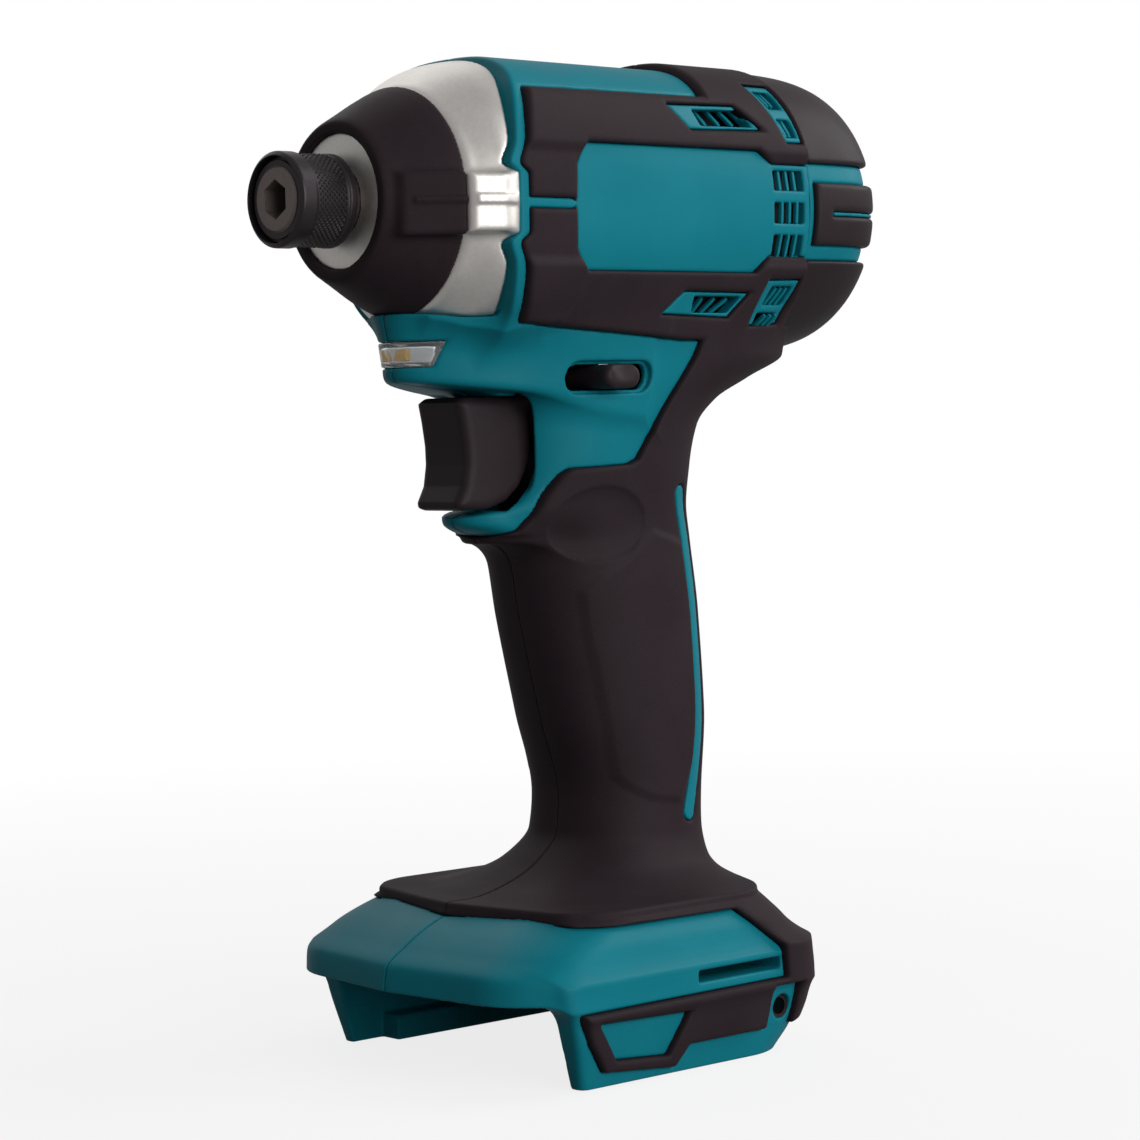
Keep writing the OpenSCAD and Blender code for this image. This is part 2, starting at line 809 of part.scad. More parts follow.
module rear_cover() {
  color(teal)
    difference() {
      union() {
        difference() {
          union() {
            cover_points(0, seat_gap);
            cover_pads();
          }
          cover_points(cover_wall, -seat_gap);
        }
        ring(rear_brg_r + seat_gap, rear_brg_r + rib_t, d_rear_brg, overall_len - cover_wall / 2);
        on_cover_screws(d_plate + plate_t + plate_boss_h + seat_gap)
          cylinder(h = cover_screw_depth, r = screw_head_r + rib_t / 2, $fn = round_fn);
      }
      on_cover_screws(d_plate)
        cylinder(h = cover_len, r = screw_r + seat_gap, $fn = round_fn);
      on_cover_screws(d_cover_head)
        cylinder(h = cover_len, r = screw_head_r + seat_gap, $fn = round_fn);
      along(overall_len)
        cylinder(h = cover_len, r = barrel_r, $fn = round_fn);
    }
}
cover_screw_depth = 3.2;
d_cover_head = d_plate + plate_t + plate_boss_h + seat_gap + rib_t;
module rear_cover_screws() {
  color(dark_steel)
    on_cover_screws(d_plate + plate_t)
      union() {
        cylinder(h = d_cover_head - d_plate - plate_t, r = screw_r, $fn = round_fn);
        translate([0, 0, d_cover_head - d_plate - plate_t])
          cylinder(h = screw_head_h, r = screw_head_r, $fn = round_fn);
      }
}
module housing_screws() {
  color(dark_steel)
    on_bosses()
      union() {
        translate([0, 0, -screw_seat])
          cylinder(h = screw_seat + screw_reach, r = screw_r, $fn = round_fn);
        translate([0, 0, -screw_seat - screw_head_h])
          cylinder(h = screw_head_h, r = screw_head_r, $fn = round_fn);
      }
}

// Cast case: nose, cone, flange and the skirt inside the housing
d_bumper_end = d_case + 0.68 * case_cone_len;
bumper_end_r = case_nose_r + 0.53 * (case_flange_r - case_nose_r);
skirt_lap = 2;
d_skirt = d_cheek + skirt_lap;
case_bevel = 2;
o_ring_w = 0.8;
o_ring_r = skirt_r - case_wall / 2;
module hammer_case() {
  color(cast)
    difference() {
      turned([
        [bush_r + seat_gap, d_case], [case_nose_r, d_case], [case_nose_r, d_case + over],
        [bumper_end_r, d_bumper_end], [bumper_end_r + over, d_bumper_end],
        [case_flange_r, d_barrel - case_flange_t], [case_flange_r, d_barrel - seat_gap],
        [skirt_r, d_barrel - seat_gap], [skirt_r, d_skirt], [cavity_r, d_skirt],
        [cavity_r, d_cavity + step], [cavity_r - case_bevel, d_cavity], [bush_r + seat_gap, d_cavity]
      ]);
      along(d_skirt)
        rotate_extrude($fn = round_fn)
          translate([o_ring_r, 0])
            circle(r = o_ring_w + seat_gap, $fn = round_fn);
    }
}
module case_o_ring() {
  color(black)
    along(d_skirt)
      rotate_extrude($fn = round_fn)
        translate([o_ring_r, 0])
          circle(r = o_ring_w, $fn = round_fn);
}
bumper_pad_w = 14;
bumper_pad_t = 1.4;
module nose_bumper() {
  color(rubber)
    difference() {
      union() {
        turned([
          [case_nose_r + seat_gap, d_case - over], [case_nose_r + bumper_t, d_case - over],
          [bumper_end_r + bumper_t * 0.7, d_bumper_end - seat_gap],
          [bumper_end_r + seat_gap, d_bumper_end - seat_gap],
          [case_nose_r + seat_gap, d_case + over]
        ]);
        intersection() {
          turned([
            [case_nose_r + 2 * step, d_case + 3 * over],
            [case_nose_r + bumper_t + bumper_pad_t + 2 * step, d_case + 3 * over],
            [bumper_end_r + bumper_t * 0.7 + bumper_pad_t, d_bumper_end - seat_gap],
            [bumper_end_r + 2 * step, d_bumper_end - seat_gap]
          ]);
          along(d_case)
            translate([-bumper_pad_w / 2, -barrel_r, 0])
              cube([bumper_pad_w, 2 * barrel_r, case_cone_len]);
        }
      }
      turned([
        [0, d_case + over - seat_gap], [case_nose_r + seat_gap, d_case + over - seat_gap],
        [bumper_end_r + seat_gap, d_bumper_end - seat_gap], [bumper_end_r + seat_gap, d_barrel],
        [0, d_barrel]
      ]);
    }
}
module anvil_bush() {
  color(bronze)
    ring(anvil_r + run_gap, bush_r, d_bush, d_bush + bush_len);
}
module anvil_thrust_washer() {
  color(black)
    ring(anvil_r + move_gap, bush_r + 3 * step, d_cavity + seat_gap, d_cavity + seat_gap + thrust_washer_t);
}

// Gears
function inv(a) = tan(a) * 180 / PI - a;
function flank_turn(r, rb) = r > rb ? inv(acos(rb / r)) : 0;
flank_steps = 4;
function tooth_points(z, r_root, r_tip, thin) =
  let (
    r = gear_module * z / 2,
    rb = r * cos(pressure_angle),
    half = 90 / z - thin * 180 / (PI * r) + inv(pressure_angle),
    r0 = max(r_root, rb)
  )
    [
      for (k = [0 : z - 1])
        let (c = 360 * k / z)
          each concat(
            [[r_root, c - half]],
            [
              for (i = [0 : flank_steps])
                let (q = r0 + (r_tip - r0) * i / flank_steps)
                  [q, c - half + flank_turn(q, rb)]
            ],
            [
              for (i = [flank_steps : -1 : 0])
                let (q = r0 + (r_tip - r0) * i / flank_steps)
                  [q, c + half - flank_turn(q, rb)]
            ],
            [[r_root, c + half]]
          )
    ];
function polar(p) = [for (q = p) [q[0] * cos(q[1]), q[0] * sin(q[1])]];
function gear_points(z, grow, shrink, thin) =
  let (r = gear_module * z / 2)
    polar(tooth_points(z, r - gear_module * shrink, r + gear_module * grow, thin));
module ring_gear() {
  color(steel)
    along(d_gear - over)
      linear_extrude(gear_w + 2 * over)
        difference() {
          circle(r = ring_gear_r, $fn = round_fn);
          rotate(planet_turn)
            polygon(gear_points(ring_teeth, dedendum_share, addendum_share, -tooth_gap));
        }
}
module planet(i) {
  turn = planet_turn + 360 * i / planet_count;
  color(steel)
    along(d_gear)
      rotate([0, 0, turn])
        translate([centre_r, 0, 0])
          linear_extrude(gear_w)
            difference() {
              polygon(gear_points(planet_teeth, addendum_share, dedendum_share, tooth_gap));
              circle(r = pin_r + run_gap, $fn = round_fn);
            }
}
module planet_gear_1() {
  planet(0);
}
module planet_gear_2() {
  planet(1);
}
module planet_gear_3() {
  planet(2);
}

// Box that holds the ring gear and two bearings
module gear_housing() {
  color(black)
    difference() {
      turned([
        [ring_gear_r + seat_gap, d_skirt + seat_gap], [skirt_r, d_skirt + seat_gap],
        [skirt_r, d_box_end], [front_brg_r + seat_gap, d_box_end],
        [front_brg_r + seat_gap, d_front_brg], [front_brg_r - front_brg_lip, d_front_brg],
        [front_brg_r - front_brg_lip, d_box_web], [hub_brg_r + seat_gap, d_box_web],
        [hub_brg_r + seat_gap, d_spindle_brg], [cheek_r + step, d_spindle_brg],
        [cheek_r + step, d_gear + gear_w + over + seat_gap],
        [ring_gear_r + seat_gap, d_gear + gear_w + over + seat_gap]
      ]);
      along(d_skirt)
        rotate_extrude($fn = round_fn)
          translate([o_ring_r, 0])
            circle(r = o_ring_w + seat_gap, $fn = round_fn);
    }
}

// Ball bearing parts
ball_count = 9;
ball_share = 0.27;
module bearing_race(r_in, r_out, r0, r1, d, w) {
  rb = ball_share * (r_out - r_in);
  along(d)
    rotate_extrude($fn = round_fn)
      difference() {
        translate([r0, 0])
          square([r1 - r0, w]);
        translate([(r_in + r_out) / 2, w / 2])
          circle(r = rb + run_gap, $fn = round_fn);
      }
}
module bearing_balls(r_in, r_out, d, w) {
  for (i = [0 : ball_count - 1])
    along(d + w / 2)
      rotate([0, 0, 360 * i / ball_count])
        translate([(r_in + r_out) / 2, 0, 0])
          sphere(r = ball_share * (r_out - r_in), $fn = round_fn);
}
race_share = 0.62;
function inner_race_r(r_in, r_out) = r_out - race_share * (r_out - r_in);
function outer_race_r(r_in, r_out) = r_in + race_share * (r_out - r_in);
module spindle_bearing() {
  color(steel) {
    bearing_race(hub_r, hub_brg_r, outer_race_r(hub_r, hub_brg_r), hub_brg_r,
      d_spindle_brg, spindle_brg_w);
    bearing_balls(hub_r, hub_brg_r, d_spindle_brg, spindle_brg_w);
  }
}
module spindle_bearing_ring() {
  color(steel)
    bearing_race(hub_r, hub_brg_r, hub_r + seat_gap, inner_race_r(hub_r, hub_brg_r),
      d_spindle_brg, spindle_brg_w);
}
module motor_bearing(r_out, d) {
  color(steel) {
    bearing_race(shaft_r, r_out, outer_race_r(shaft_r, r_out), r_out, d, motor_brg_w);
    bearing_balls(shaft_r, r_out, d, motor_brg_w);
    bearing_race(shaft_r, r_out, shaft_r + run_gap, inner_race_r(shaft_r, r_out), d, motor_brg_w);
  }
}
module motor_front_bearing() {
  motor_bearing(front_brg_r, d_front_brg);
}
module motor_rear_bearing() {
  motor_bearing(rear_brg_r, d_rear_brg);
}

// Motor
module motor_yoke() {
  color(steel)
    ring(magnet_r + seat_gap, yoke_r, d_core - over, d_core_end + over);
}
magnet_turn = 62;
module motor_magnets() {
  color(dark_steel)
    for (side = [0, 180])
      along(d_core)
        rotate([0, 0, side - magnet_turn])
          rotate_extrude(angle = 2 * magnet_turn, $fn = round_fn)
            translate([core_r + air_gap, 0])
              square([magnet_t, core_len]);
}
slot_count = 12;
slot_r = 2.2;
module armature_core() {
  color(steel)
    along(d_core)
      linear_extrude(core_len)
        difference() {
          circle(r = core_r, $fn = round_fn);
          circle(r = shaft_r + seat_gap, $fn = round_fn);
          for (i = [0 : slot_count - 1])
            rotate(360 * i / slot_count) {
              translate([core_r - 2 * slot_r, 0])
                circle(r = slot_r, $fn = round_fn);
              translate([core_r - 2 * slot_r, -slot_r / 4])
                square([3 * slot_r, slot_r / 2]);
            }
        }
}
winding_r0 = 4;
module armature_winding() {
  color(copper) {
    for (d = [d_winding, d_core_end + seat_gap])
      ring(winding_r0, core_r - slot_r, d, d + winding_len - seat_gap);
    for (i = [0 : slot_count - 1])
      along(d_core + seat_gap)
        rotate([0, 0, 360 * i / slot_count])
          translate([core_r - 2 * slot_r, 0, 0])
            cylinder(h = core_len - 2 * seat_gap, r = slot_r - seat_gap, $fn = round_fn);
  }
}
com_bars = 12;
com_slit = 0.5;
module commutator() {
  color(copper)
    along(d_com + seat_gap)
      linear_extrude(com_len - 2 * seat_gap)
        difference() {
          circle(r = com_r, $fn = round_fn);
          circle(r = shaft_r + seat_gap, $fn = round_fn);
          for (i = [0 : com_bars - 1])
            rotate(360 * i / com_bars)
              translate([com_r - 2 * com_slit, -com_slit / 2])
                square([com_r, com_slit]);
        }
}
module armature_shaft() {
  color(steel) {
    along(d_gear)
      linear_extrude(gear_w + step)
        rotate(planet_turn + 180 / sun_teeth)
          polygon(gear_points(sun_teeth, addendum_share, dedendum_share, tooth_gap));
    along(d_gear + gear_w + step)
      cylinder(h = d_rear_brg_end - d_gear - gear_w - step, r = shaft_r, $fn = round_fn);
  }
}
blade_count = 11;
blade_t = 1.2;
fan_hub_r = 6;
module cooling_fan() {
  color(black)
    union() {
      turned([
        [shaft_r + seat_gap, d_fan], [fan_r, d_fan], [fan_r, d_fan + blade_t],
        [fan_hub_r, d_fan + blade_t], [fan_hub_r, d_fan + fan_len], [shaft_r + seat_gap, d_fan + fan_len]
      ]);
      for (i = [0 : blade_count - 1])
        along(d_fan + blade_t / 2)
          rotate([0, 0, 360 * (i + 0.4) / blade_count])
            translate([fan_hub_r - step, -blade_t / 2, 0])
              cube([fan_r - fan_hub_r - step, blade_t, fan_len - blade_t]);
    }
}

// Brush gear behind the motor
brush_w = 5;
brush_l = 8;
brush_r0 = com_r + run_gap;
holder_wall = 1.1;
holder_r1 = yoke_r - 6 * step;
brush_d = d_com + com_len / 2 - brush_w / 2;
module on_brushes() {
  for (side = [0, 180])
    along(brush_d)
      rotate([0, 0, 90 + side])
        children();
}
module brush_plate() {
  color(black)
    difference() {
      union() {
        ring(com_r + 2 * step, yoke_r, d_plate, d_plate + plate_t);
        on_brushes()
          translate([com_r + step + over, -brush_w / 2 - holder_wall, -holder_wall])
            cube([holder_r1 - com_r - step - over, brush_w + 2 * holder_wall, brush_w + 2 * holder_wall]);
        on_cover_screws(d_plate)
          cylinder(h = plate_t + plate_boss_h, r = screw_head_r, $fn = round_fn);
      }
      on_brushes()
        translate([0, -brush_w / 2 - seat_gap, -seat_gap])
          cube([holder_r1 - holder_wall, brush_w + 2 * seat_gap, brush_w + 2 * seat_gap]);
      on_cover_screws(d_plate - over)
        cylinder(h = plate_t + plate_boss_h + 2 * over, r = screw_r + seat_gap, $fn = round_fn);
    }
}
module carbon_brushes() {
  color(dark_steel)
    on_brushes()
      translate([brush_r0, -brush_w / 2, 0])
        cube([brush_l, brush_w, brush_w]);
}
brush_spring_r = 1.8;
brush_wire = 0.25;
brush_turns = 4;
module brush_springs() {
  color(steel)
    on_brushes()
      translate([brush_r0 + brush_l + seat_gap, 0, brush_w / 2])
        rotate([0, 90, 0])
          coil(brush_spring_r, brush_wire,
            holder_r1 - holder_wall - brush_r0 - brush_l - 2 * seat_gap, brush_turns);
}

// Switch, its pivot for the lever and its heat sink
switch_len = handle_depth * 0.62;
switch_hw = 9.5;
switch_front = recess_x - trigger_travel - move_gap;
switch_back = switch_front - switch_len;
pivot_x = lever_x - lever_pivot_back;
pivot_r = 1.75;
pivot_boss_r = 3.4;
module switch_body() {
  color(black)
    difference() {
      union() {
        translate([switch_back, -switch_hw, switch_z])
          cube([switch_len, 2 * switch_hw, switch_h]);
        translate([pivot_x, 0, switch_z + switch_h - over])
          cylinder(h = lever_lift + over - move_gap, r = pivot_boss_r, $fn = round_fn);
        translate([pivot_x, 0, switch_z + switch_h])
          cylinder(h = lever_lift + lever_h, r = pivot_r, $fn = round_fn);
      }
      translate([switch_front - trigger_travel - 2 * over, 0, plunger_z])
        rotate([0, 90, 0])
          cylinder(h = trigger_travel + 3 * over, r = plunger_r + run_gap, $fn = round_fn);
    }
}
sink_t = 1.5;
sink_set = 2;
sink_len = switch_len - 5 * sink_set;
module heat_sink() {
  color(cast)
    translate([switch_back + sink_set, -switch_hw, switch_z - sink_t - seat_gap])
      cube([sink_len, 2 * switch_hw, sink_t]);
}

// Trigger with a hollowed front and a plunger
plunger_r = 2.5;
plunger_z = trigger_z + trigger_h * 0.6;
finger_r = 34;
finger_deep = 1.6;
trigger_round = 3;
module trigger_outline() {
  x1 = recess_x + trigger_reach;
  difference() {
    polygon([
      [recess_x, trigger_z], [x1, trigger_z], [x1, trigger_z + trigger_h / 4],
      [x1 - step, trigger_z + trigger_h], [recess_x, trigger_z + trigger_h]
    ]);
    translate([x1 + finger_r - finger_deep, trigger_z + trigger_h * 0.55])
      circle(r = finger_r, $fn = round_fn);
  }
}
module trigger() {
  color(black)
    union() {
      intersection() {
        rotate([90, 0, 0])
          translate([0, 0, -trigger_hw])
            linear_extrude(2 * trigger_hw)
              trigger_outline();
        translate([0, 0, trigger_z - over])
          linear_extrude(trigger_h + 2 * over) {
            translate([recess_x, -trigger_hw])
              square([trigger_reach - trigger_round, 2 * trigger_hw]);
            translate([recess_x + trigger_reach - trigger_round - over, trigger_round - trigger_hw])
              square([trigger_round + over, 2 * (trigger_hw - trigger_round)]);
            for (y = [-1, 1])
              translate([recess_x + trigger_reach - trigger_round, y * (trigger_hw - trigger_round)])
                circle(r = trigger_round, $fn = round_fn);
          }
      }
      translate([switch_front - over, 0, plunger_z])
        rotate([0, 90, 0])
          cylinder(h = recess_x - switch_front + 3 * over, r = plunger_r, $fn = round_fn);
    }
}

// Lever that crosses the neck and turns on the switch pivot
lever_arm_w = 5;
lever_hub_r = 4;
module reverse_lever() {
  color(black)
    difference() {
      union() {
        translate([lever_x - lever_w / 2, -lever_reach, lever_z])
          cube([lever_w, 2 * lever_reach, lever_h]);
        translate([pivot_x, -lever_arm_w / 2, lever_z])
          cube([lever_pivot_back, lever_arm_w, lever_h]);
        translate([pivot_x, 0, lever_z])
          cylinder(h = lever_h, r = lever_hub_r, $fn = round_fn);
      }
      translate([pivot_x, 0, lever_z - over])
        cylinder(h = lever_h + 2 * over, r = pivot_r + run_gap, $fn = round_fn);
    }
}

// Lamp
board_t = 1.2;
lamp_r = 1.5;
lens_x = recess_x + chin_len - lens_deep;
module led_board() {
  color(clear)
    union() {
      translate([lens_x - lens_deep / 2 - board_t, -chin_nose_w + over, lens_z + seat_gap])
        cube([board_t, 2 * (chin_nose_w - over), lens_h - 2 * seat_gap]);
      translate([lens_x - lens_deep / 2 - step, 0, lens_z + lens_h / 2])
        rotate([0, 90, 0])
          cylinder(h = lens_deep / 2, r = lamp_r, $fn = round_fn);
    }
}
module led_lens() {
  color(clear)
    translate([lens_x, -chin_nose_w + step + seat_gap, lens_z + seat_gap])
      cube([lens_deep - over, 2 * (chin_nose_w - step - seat_gap), lens_h - 2 * seat_gap]);
}

// Terminal block, its contact blades and the hook inserts
module terminal_block() {
  color(black)
    difference() {
      union() {
        translate([block_x, -block_hw, dock_h - block_drop])
          cube([block_len, 2 * block_hw, block_drop + dock_roof_t + block_flange]);
        translate([block_x, -block_hw - block_flange, dock_h + dock_roof_t + seat_gap])
          cube([block_len, 2 * (block_hw + block_flange), block_flange]);
      }
      for (y = blade_spots)
        translate([block_x + block_len / 3, y - blade_w / 2 - seat_gap, blade_z - seat_gap])
          cube([block_len, blade_w + 2 * seat_gap, blade_h + 2 * seat_gap]);
    }
}
blade_w = 0.8;
blade_h = 6;
blade_drop = 8.5;
blade_z = dock_h - blade_drop;
blade_reach = 11;
blade_pitch = 10;
blade_spots = [-blade_pitch, 0, blade_pitch];
module battery_contacts() {
  color(copper)
    for (y = blade_spots)
      translate([block_x + block_len / 3 + seat_gap, y - blade_w / 2, blade_z])
        cube([block_len * 2 / 3 + blade_reach, blade_w, blade_h]);
}
module hook_inserts() {
  color(bronze)
    for (side = [-1, 1])
      translate([hook_x, 0, hook_z])
        rotate([side * -90, 0, 0])
          translate([0, 0, foot_hw - insert_set - insert_len])
            difference() {
              cylinder(h = insert_len, r = insert_r, $fn = round_fn);
              translate([0, 0, -over])
                cylinder(h = insert_len + 2 * over, r = hook_thread_r, $fn = round_fn);
            }
}

// Leads
lead_r = 0.75;
lead_sides = 6;
lead_gap = 5;
lead_x = recess_x - handle_depth * 0.62;
lead_top = switch_z - sink_t - seat_gap;
module battery_leads() {
  color(dark_steel)
    for (y = [-1, 1])
      sweep([
        [block_x + block_len / 2, y * lead_gap, dock_h + dock_roof_t + block_flange],
        [block_x + block_len / 2, y * lead_gap, foot_h],
        [lead_x, y * lead_gap, foot_h + grip_h * 0.25],
        [lead_x, y * lead_gap, foot_h + grip_h * 0.6],
        [lead_x + lead_gap, y * lead_gap, foot_h + grip_h * 0.85],
        [switch_front - lead_gap, y * lead_gap, switch_z - lead_gap],
        [switch_front - lead_gap, y * lead_gap, switch_z]
      ], lead_r, lead_sides, [0, 1, 0]);
}
lead_run_r = bore_r - lead_r - seat_gap * 2;
lead_run_z = axis_z - sqrt(pow(lead_run_r, 2) - pow(lead_gap, 2));
lead_low_z = lead_run_z - 3 * lead_r;
module motor_leads() {
  color(dark_steel)
    for (y = [-1, 1])
      sweep([
        [switch_back, y * lead_gap, switch_z + switch_h - lead_gap],
        [switch_back - lead_r * 2, y * lead_gap, switch_z + switch_h - lead_gap],
        [switch_back - lead_r * 3, y * lead_gap, switch_z + switch_h],
        [switch_back - lead_r * 3, y * lead_gap, lead_low_z - lead_gap],
        [switch_back - lead_r * 6, y * lead_gap, lead_low_z],
        [nose_x - d_box_end - lead_r * 2, y * lead_gap, lead_low_z],
        [nose_x - d_box_end - lead_r * 6, y * lead_gap, lead_run_z],
        [nose_x - d_seam + lead_gap, y * lead_gap, lead_run_z]
      ], lead_r, lead_sides, [0, 1, 0]);
}
led_lead_r = 0.5;
led_lead_z = lever_z + lever_h + lead_r + step;
led_lead_y = 2 * lead_gap;
led_lead_top = boss_spots[0][1] + boss_r + led_lead_r + step;
module led_leads() {
  color(dark_steel)
    for (y = [-1, 1])
      sweep([
        [lens_x - lens_deep / 2 - board_t, y * lead_gap, lens_z + lens_h / 2],
        [lens_x - lens_deep, y * lead_gap, lens_z + lens_h / 2],
        [boss_spots[0][0] + boss_r + lead_gap, y * (lead_gap + over), lens_z + lens_h],
        [boss_spots[0][0] + boss_r / 2, y * led_lead_y, led_lead_top],
        [boss_spots[0][0] - boss_r / 2, y * led_lead_y, led_lead_top],
        [recess_x, y * led_lead_y, led_lead_z],
        [pivot_x, y * led_lead_y, led_lead_z],
        [switch_back + lead_gap, y * (switch_hw - over), switch_z + switch_h + 2 * over],
        [switch_back + lead_gap, y * (switch_hw - over), switch_z + switch_h]
      ], led_lead_r, lead_sides, [0, 1, 0]);
}

// Anvil with its wings, socket, ball holes and clip groove
pilot_r = 3.5;
pilot_len = 6;
wing_set = 3;
wing_r = hammer_r - wing_set;
wing_hub = 3;
clip_groove = 0.6;
module anvil() {
  color(dark_steel)
    difference() {
      union() {
        turned([
          [0, d_anvil], [anvil_r - step, d_anvil], [anvil_r, d_anvil + step - seat_gap],
          [anvil_r - clip_groove, d_clip - seat_gap],
          [anvil_r - clip_groove, d_clip + sleeve_washer_t + seat_gap],
          [anvil_r, d_clip + sleeve_washer_t + seat_gap], [anvil_r, d_wing + step], [0, d_wing + step]
        ]);
        along(d_wing)
          cylinder(h = wing_len, r = anvil_r + wing_hub, $fn = round_fn);
        along(d_wing)
          intersection() {
            cylinder(h = wing_len, r = wing_r, $fn = round_fn);
            translate([-wing_r, -wing_w / 2, -over])
              cube([2 * wing_r, wing_w, wing_len + 2 * over]);
          }
      }
      along(d_anvil - over)
        cylinder(h = socket_depth + over, r = hex_af / 2 / cos(30), $fn = 6);
      along(d_bit_ball)
        rotate([90, 0, 0])
          cylinder(h = 4 * anvil_r, r = bit_ball_r + run_gap, center = true, $fn = round_fn);
      along(d_wing + wing_len - pilot_len - step)
        cylinder(h = pilot_len + 2 * step, r = pilot_r + run_gap, $fn = round_fn);
    }
}
module sleeve_clip() {
  color(steel)
    ring(anvil_r - clip_groove + seat_gap, anvil_r + over, d_clip, d_clip + sleeve_washer_t);
}
module sleeve_washer() {
  color(steel)
    ring(anvil_r + seat_gap, sleeve_r - sleeve_wall - move_gap / 2,
      d_sleeve_washer, d_sleeve_washer + sleeve_washer_t);
}
sleeve_turns = 3;
d_sleeve_spring = d_sleeve_washer + sleeve_washer_t + seat_gap;
module sleeve_spring() {
  color(steel)
    along(d_sleeve_spring)
      coil((anvil_r + sleeve_r - sleeve_wall) / 2, sleeve_wire,
        d_ridge - d_sleeve_spring - seat_gap, sleeve_turns);
}
sleeve_wall = 0.9;
ball_rise = bit_ball_bite + seat_gap;
ball_rest = hex_af / 2 - bit_ball_bite + bit_ball_r;
ball_slope = ball_rise / sleeve_travel;
module bit_sleeve() {
  bore = max(anvil_r, ball_rest + bit_ball_r) + run_gap;
  color(dark_steel)
    turned([
      [sleeve_r - sleeve_wall, 0], [sleeve_r - step, 0], [sleeve_r, step],
      [sleeve_r, sleeve_len - step], [sleeve_r - step, sleeve_len],
      [bore + seat_gap + ball_slope * (sleeve_len - d_ridge - ridge_len), sleeve_len],
      [bore + seat_gap, d_ridge + ridge_len - ball_rise], [bore, d_ridge + ridge_len - ball_rise],
      [bore, d_ridge], [sleeve_r - sleeve_wall, d_ridge]
    ]);
}
module bit_ball(side) {
  color(steel)
    along(d_bit_ball)
      translate([0, side * ball_rest, 0])
        sphere(r = bit_ball_r, $fn = round_fn);
}
module bit_ball_left() {
  bit_ball(1);
}
module bit_ball_right() {
  bit_ball(-1);
}

// Spindle with carrier, planet pins and cam balls
spindle_front = 1.5;
pillar_r = centre_r - planet_tip_r - step;
d_cam_ball = d_hammer + hammer_len * 0.62;
module spindle() {
  color(steel)
    difference() {
      union() {
        turned([
          [0, d_wing + wing_len - pilot_len + step], [pilot_r, d_wing + wing_len - pilot_len + step],
          [pilot_r, d_hammer + spindle_front], [spindle_r, d_hammer + spindle_front],
          [spindle_r, d_cheek], [cheek_r, d_cheek], [cheek_r, d_cheek + cheek_t], [0, d_cheek + cheek_t]
        ]);
        turned([
          [hub_bore_r, d_cheek_2], [cheek_r, d_cheek_2], [cheek_r, d_hub], [hub_r, d_hub],
          [hub_r, d_spindle_brg + spindle_brg_w], [hub_bore_r, d_spindle_brg + spindle_brg_w]
        ]);
        for (i = [0 : planet_count - 1])
          along(d_cheek + cheek_t / 2)
            rotate([0, 0, planet_turn + 360 * (i + 0.5) / planet_count])
              translate([centre_r, 0, 0])
                cylinder(h = d_hub - d_cheek - cheek_t, r = pillar_r, $fn = round_fn);
      }
      for (i = [0 : planet_count - 1])
        along(d_cheek + over)
          rotate([0, 0, planet_turn + 360 * i / planet_count])
            translate([centre_r, 0, 0])
              cylinder(h = d_hub - d_cheek, r = pin_r + seat_gap, $fn = round_fn);
      for (side = [-1, 1])
        along(d_cam_ball)
          rotate([side * -90, 0, 0])
            translate([0, 0, spindle_r - cam_ball_r - seat_gap])
              cylinder(h = 2 * cam_ball_r, r = cam_ball_r + seat_gap, $fn = round_fn);
    }
}
module planet_pins() {
  color(dark_steel)
    for (i = [0 : planet_count - 1])
      along(d_cheek + over + seat_gap)
        rotate([0, 0, planet_turn + 360 * i / planet_count])
          translate([centre_r, 0, 0])
            cylinder(h = d_hub - d_cheek - over - 2 * seat_gap, r = pin_r, $fn = round_fn);
}
module cam_balls() {
  color(steel)
    for (side = [-1, 1])
      along(d_cam_ball)
        translate([0, side * spindle_r, 0])
          sphere(r = cam_ball_r, $fn = round_fn);
}

// Hammer, its thrust balls and spring
pocket_r0 = spindle_r + cam_ball_r + 3 * step;
hammer_rim = 2;
pocket_r1 = hammer_r - hammer_rim;
pocket_floor = 3.6;
d_pocket = d_hammer + pocket_floor;
thrust_ball_r = 1.2;
spring_r = (pocket_r0 + pocket_r1) / 2;
lug_turn = 24;
lug_r0 = spindle_r + cam_ball_r + step;
module hammer() {
  color(dark_steel)
    difference() {
      union() {
        ring(spindle_r + run_gap, hammer_r, d_hammer, d_hammer_end);
        for (side = [-1, 1])
          along(d_wing + move_gap)
            rotate([0, 0, side * 90 - lug_turn])
              rotate_extrude(angle = 2 * lug_turn, $fn = round_fn)
                translate([lug_r0, 0])
                  square([hammer_r - step - lug_r0, wing_len + step]);
      }
      ring(pocket_r0, pocket_r1, d_pocket, d_hammer_end + over);
      for (side = [-1, 1])
        along(d_cam_ball)
          translate([0, side * spindle_r, d_hammer - d_cam_ball - over])
            cylinder(h = d_cam_ball - d_hammer + over + cam_ball_r, r = cam_ball_r + run_gap, $fn = round_fn);
    }
}
thrust_ball_count = 20;
module hammer_thrust_balls() {
  color(steel)
    for (i = [0 : thrust_ball_count - 1])
      along(d_pocket + seat_gap + thrust_ball_r)
        rotate([0, 0, 360 * i / thrust_ball_count])
          translate([spring_r, 0, 0])
            sphere(r = thrust_ball_r, $fn = round_fn);
}
d_thrust_washer = d_pocket + 2 * thrust_ball_r + 2 * seat_gap;
thrust_t = 1.2;
module hammer_thrust_washer() {
  color(steel)
    ring(pocket_r0 + move_gap, pocket_r1 - move_gap, d_thrust_washer, d_thrust_washer + thrust_t);
}
spring_turns = 4;
d_spring = d_thrust_washer + thrust_t + seat_gap;
module hammer_spring() {
  color(steel)
    along(d_spring)
      coil(spring_r, hammer_wire, d_cheek - d_spring - seat_gap, spring_turns);
}

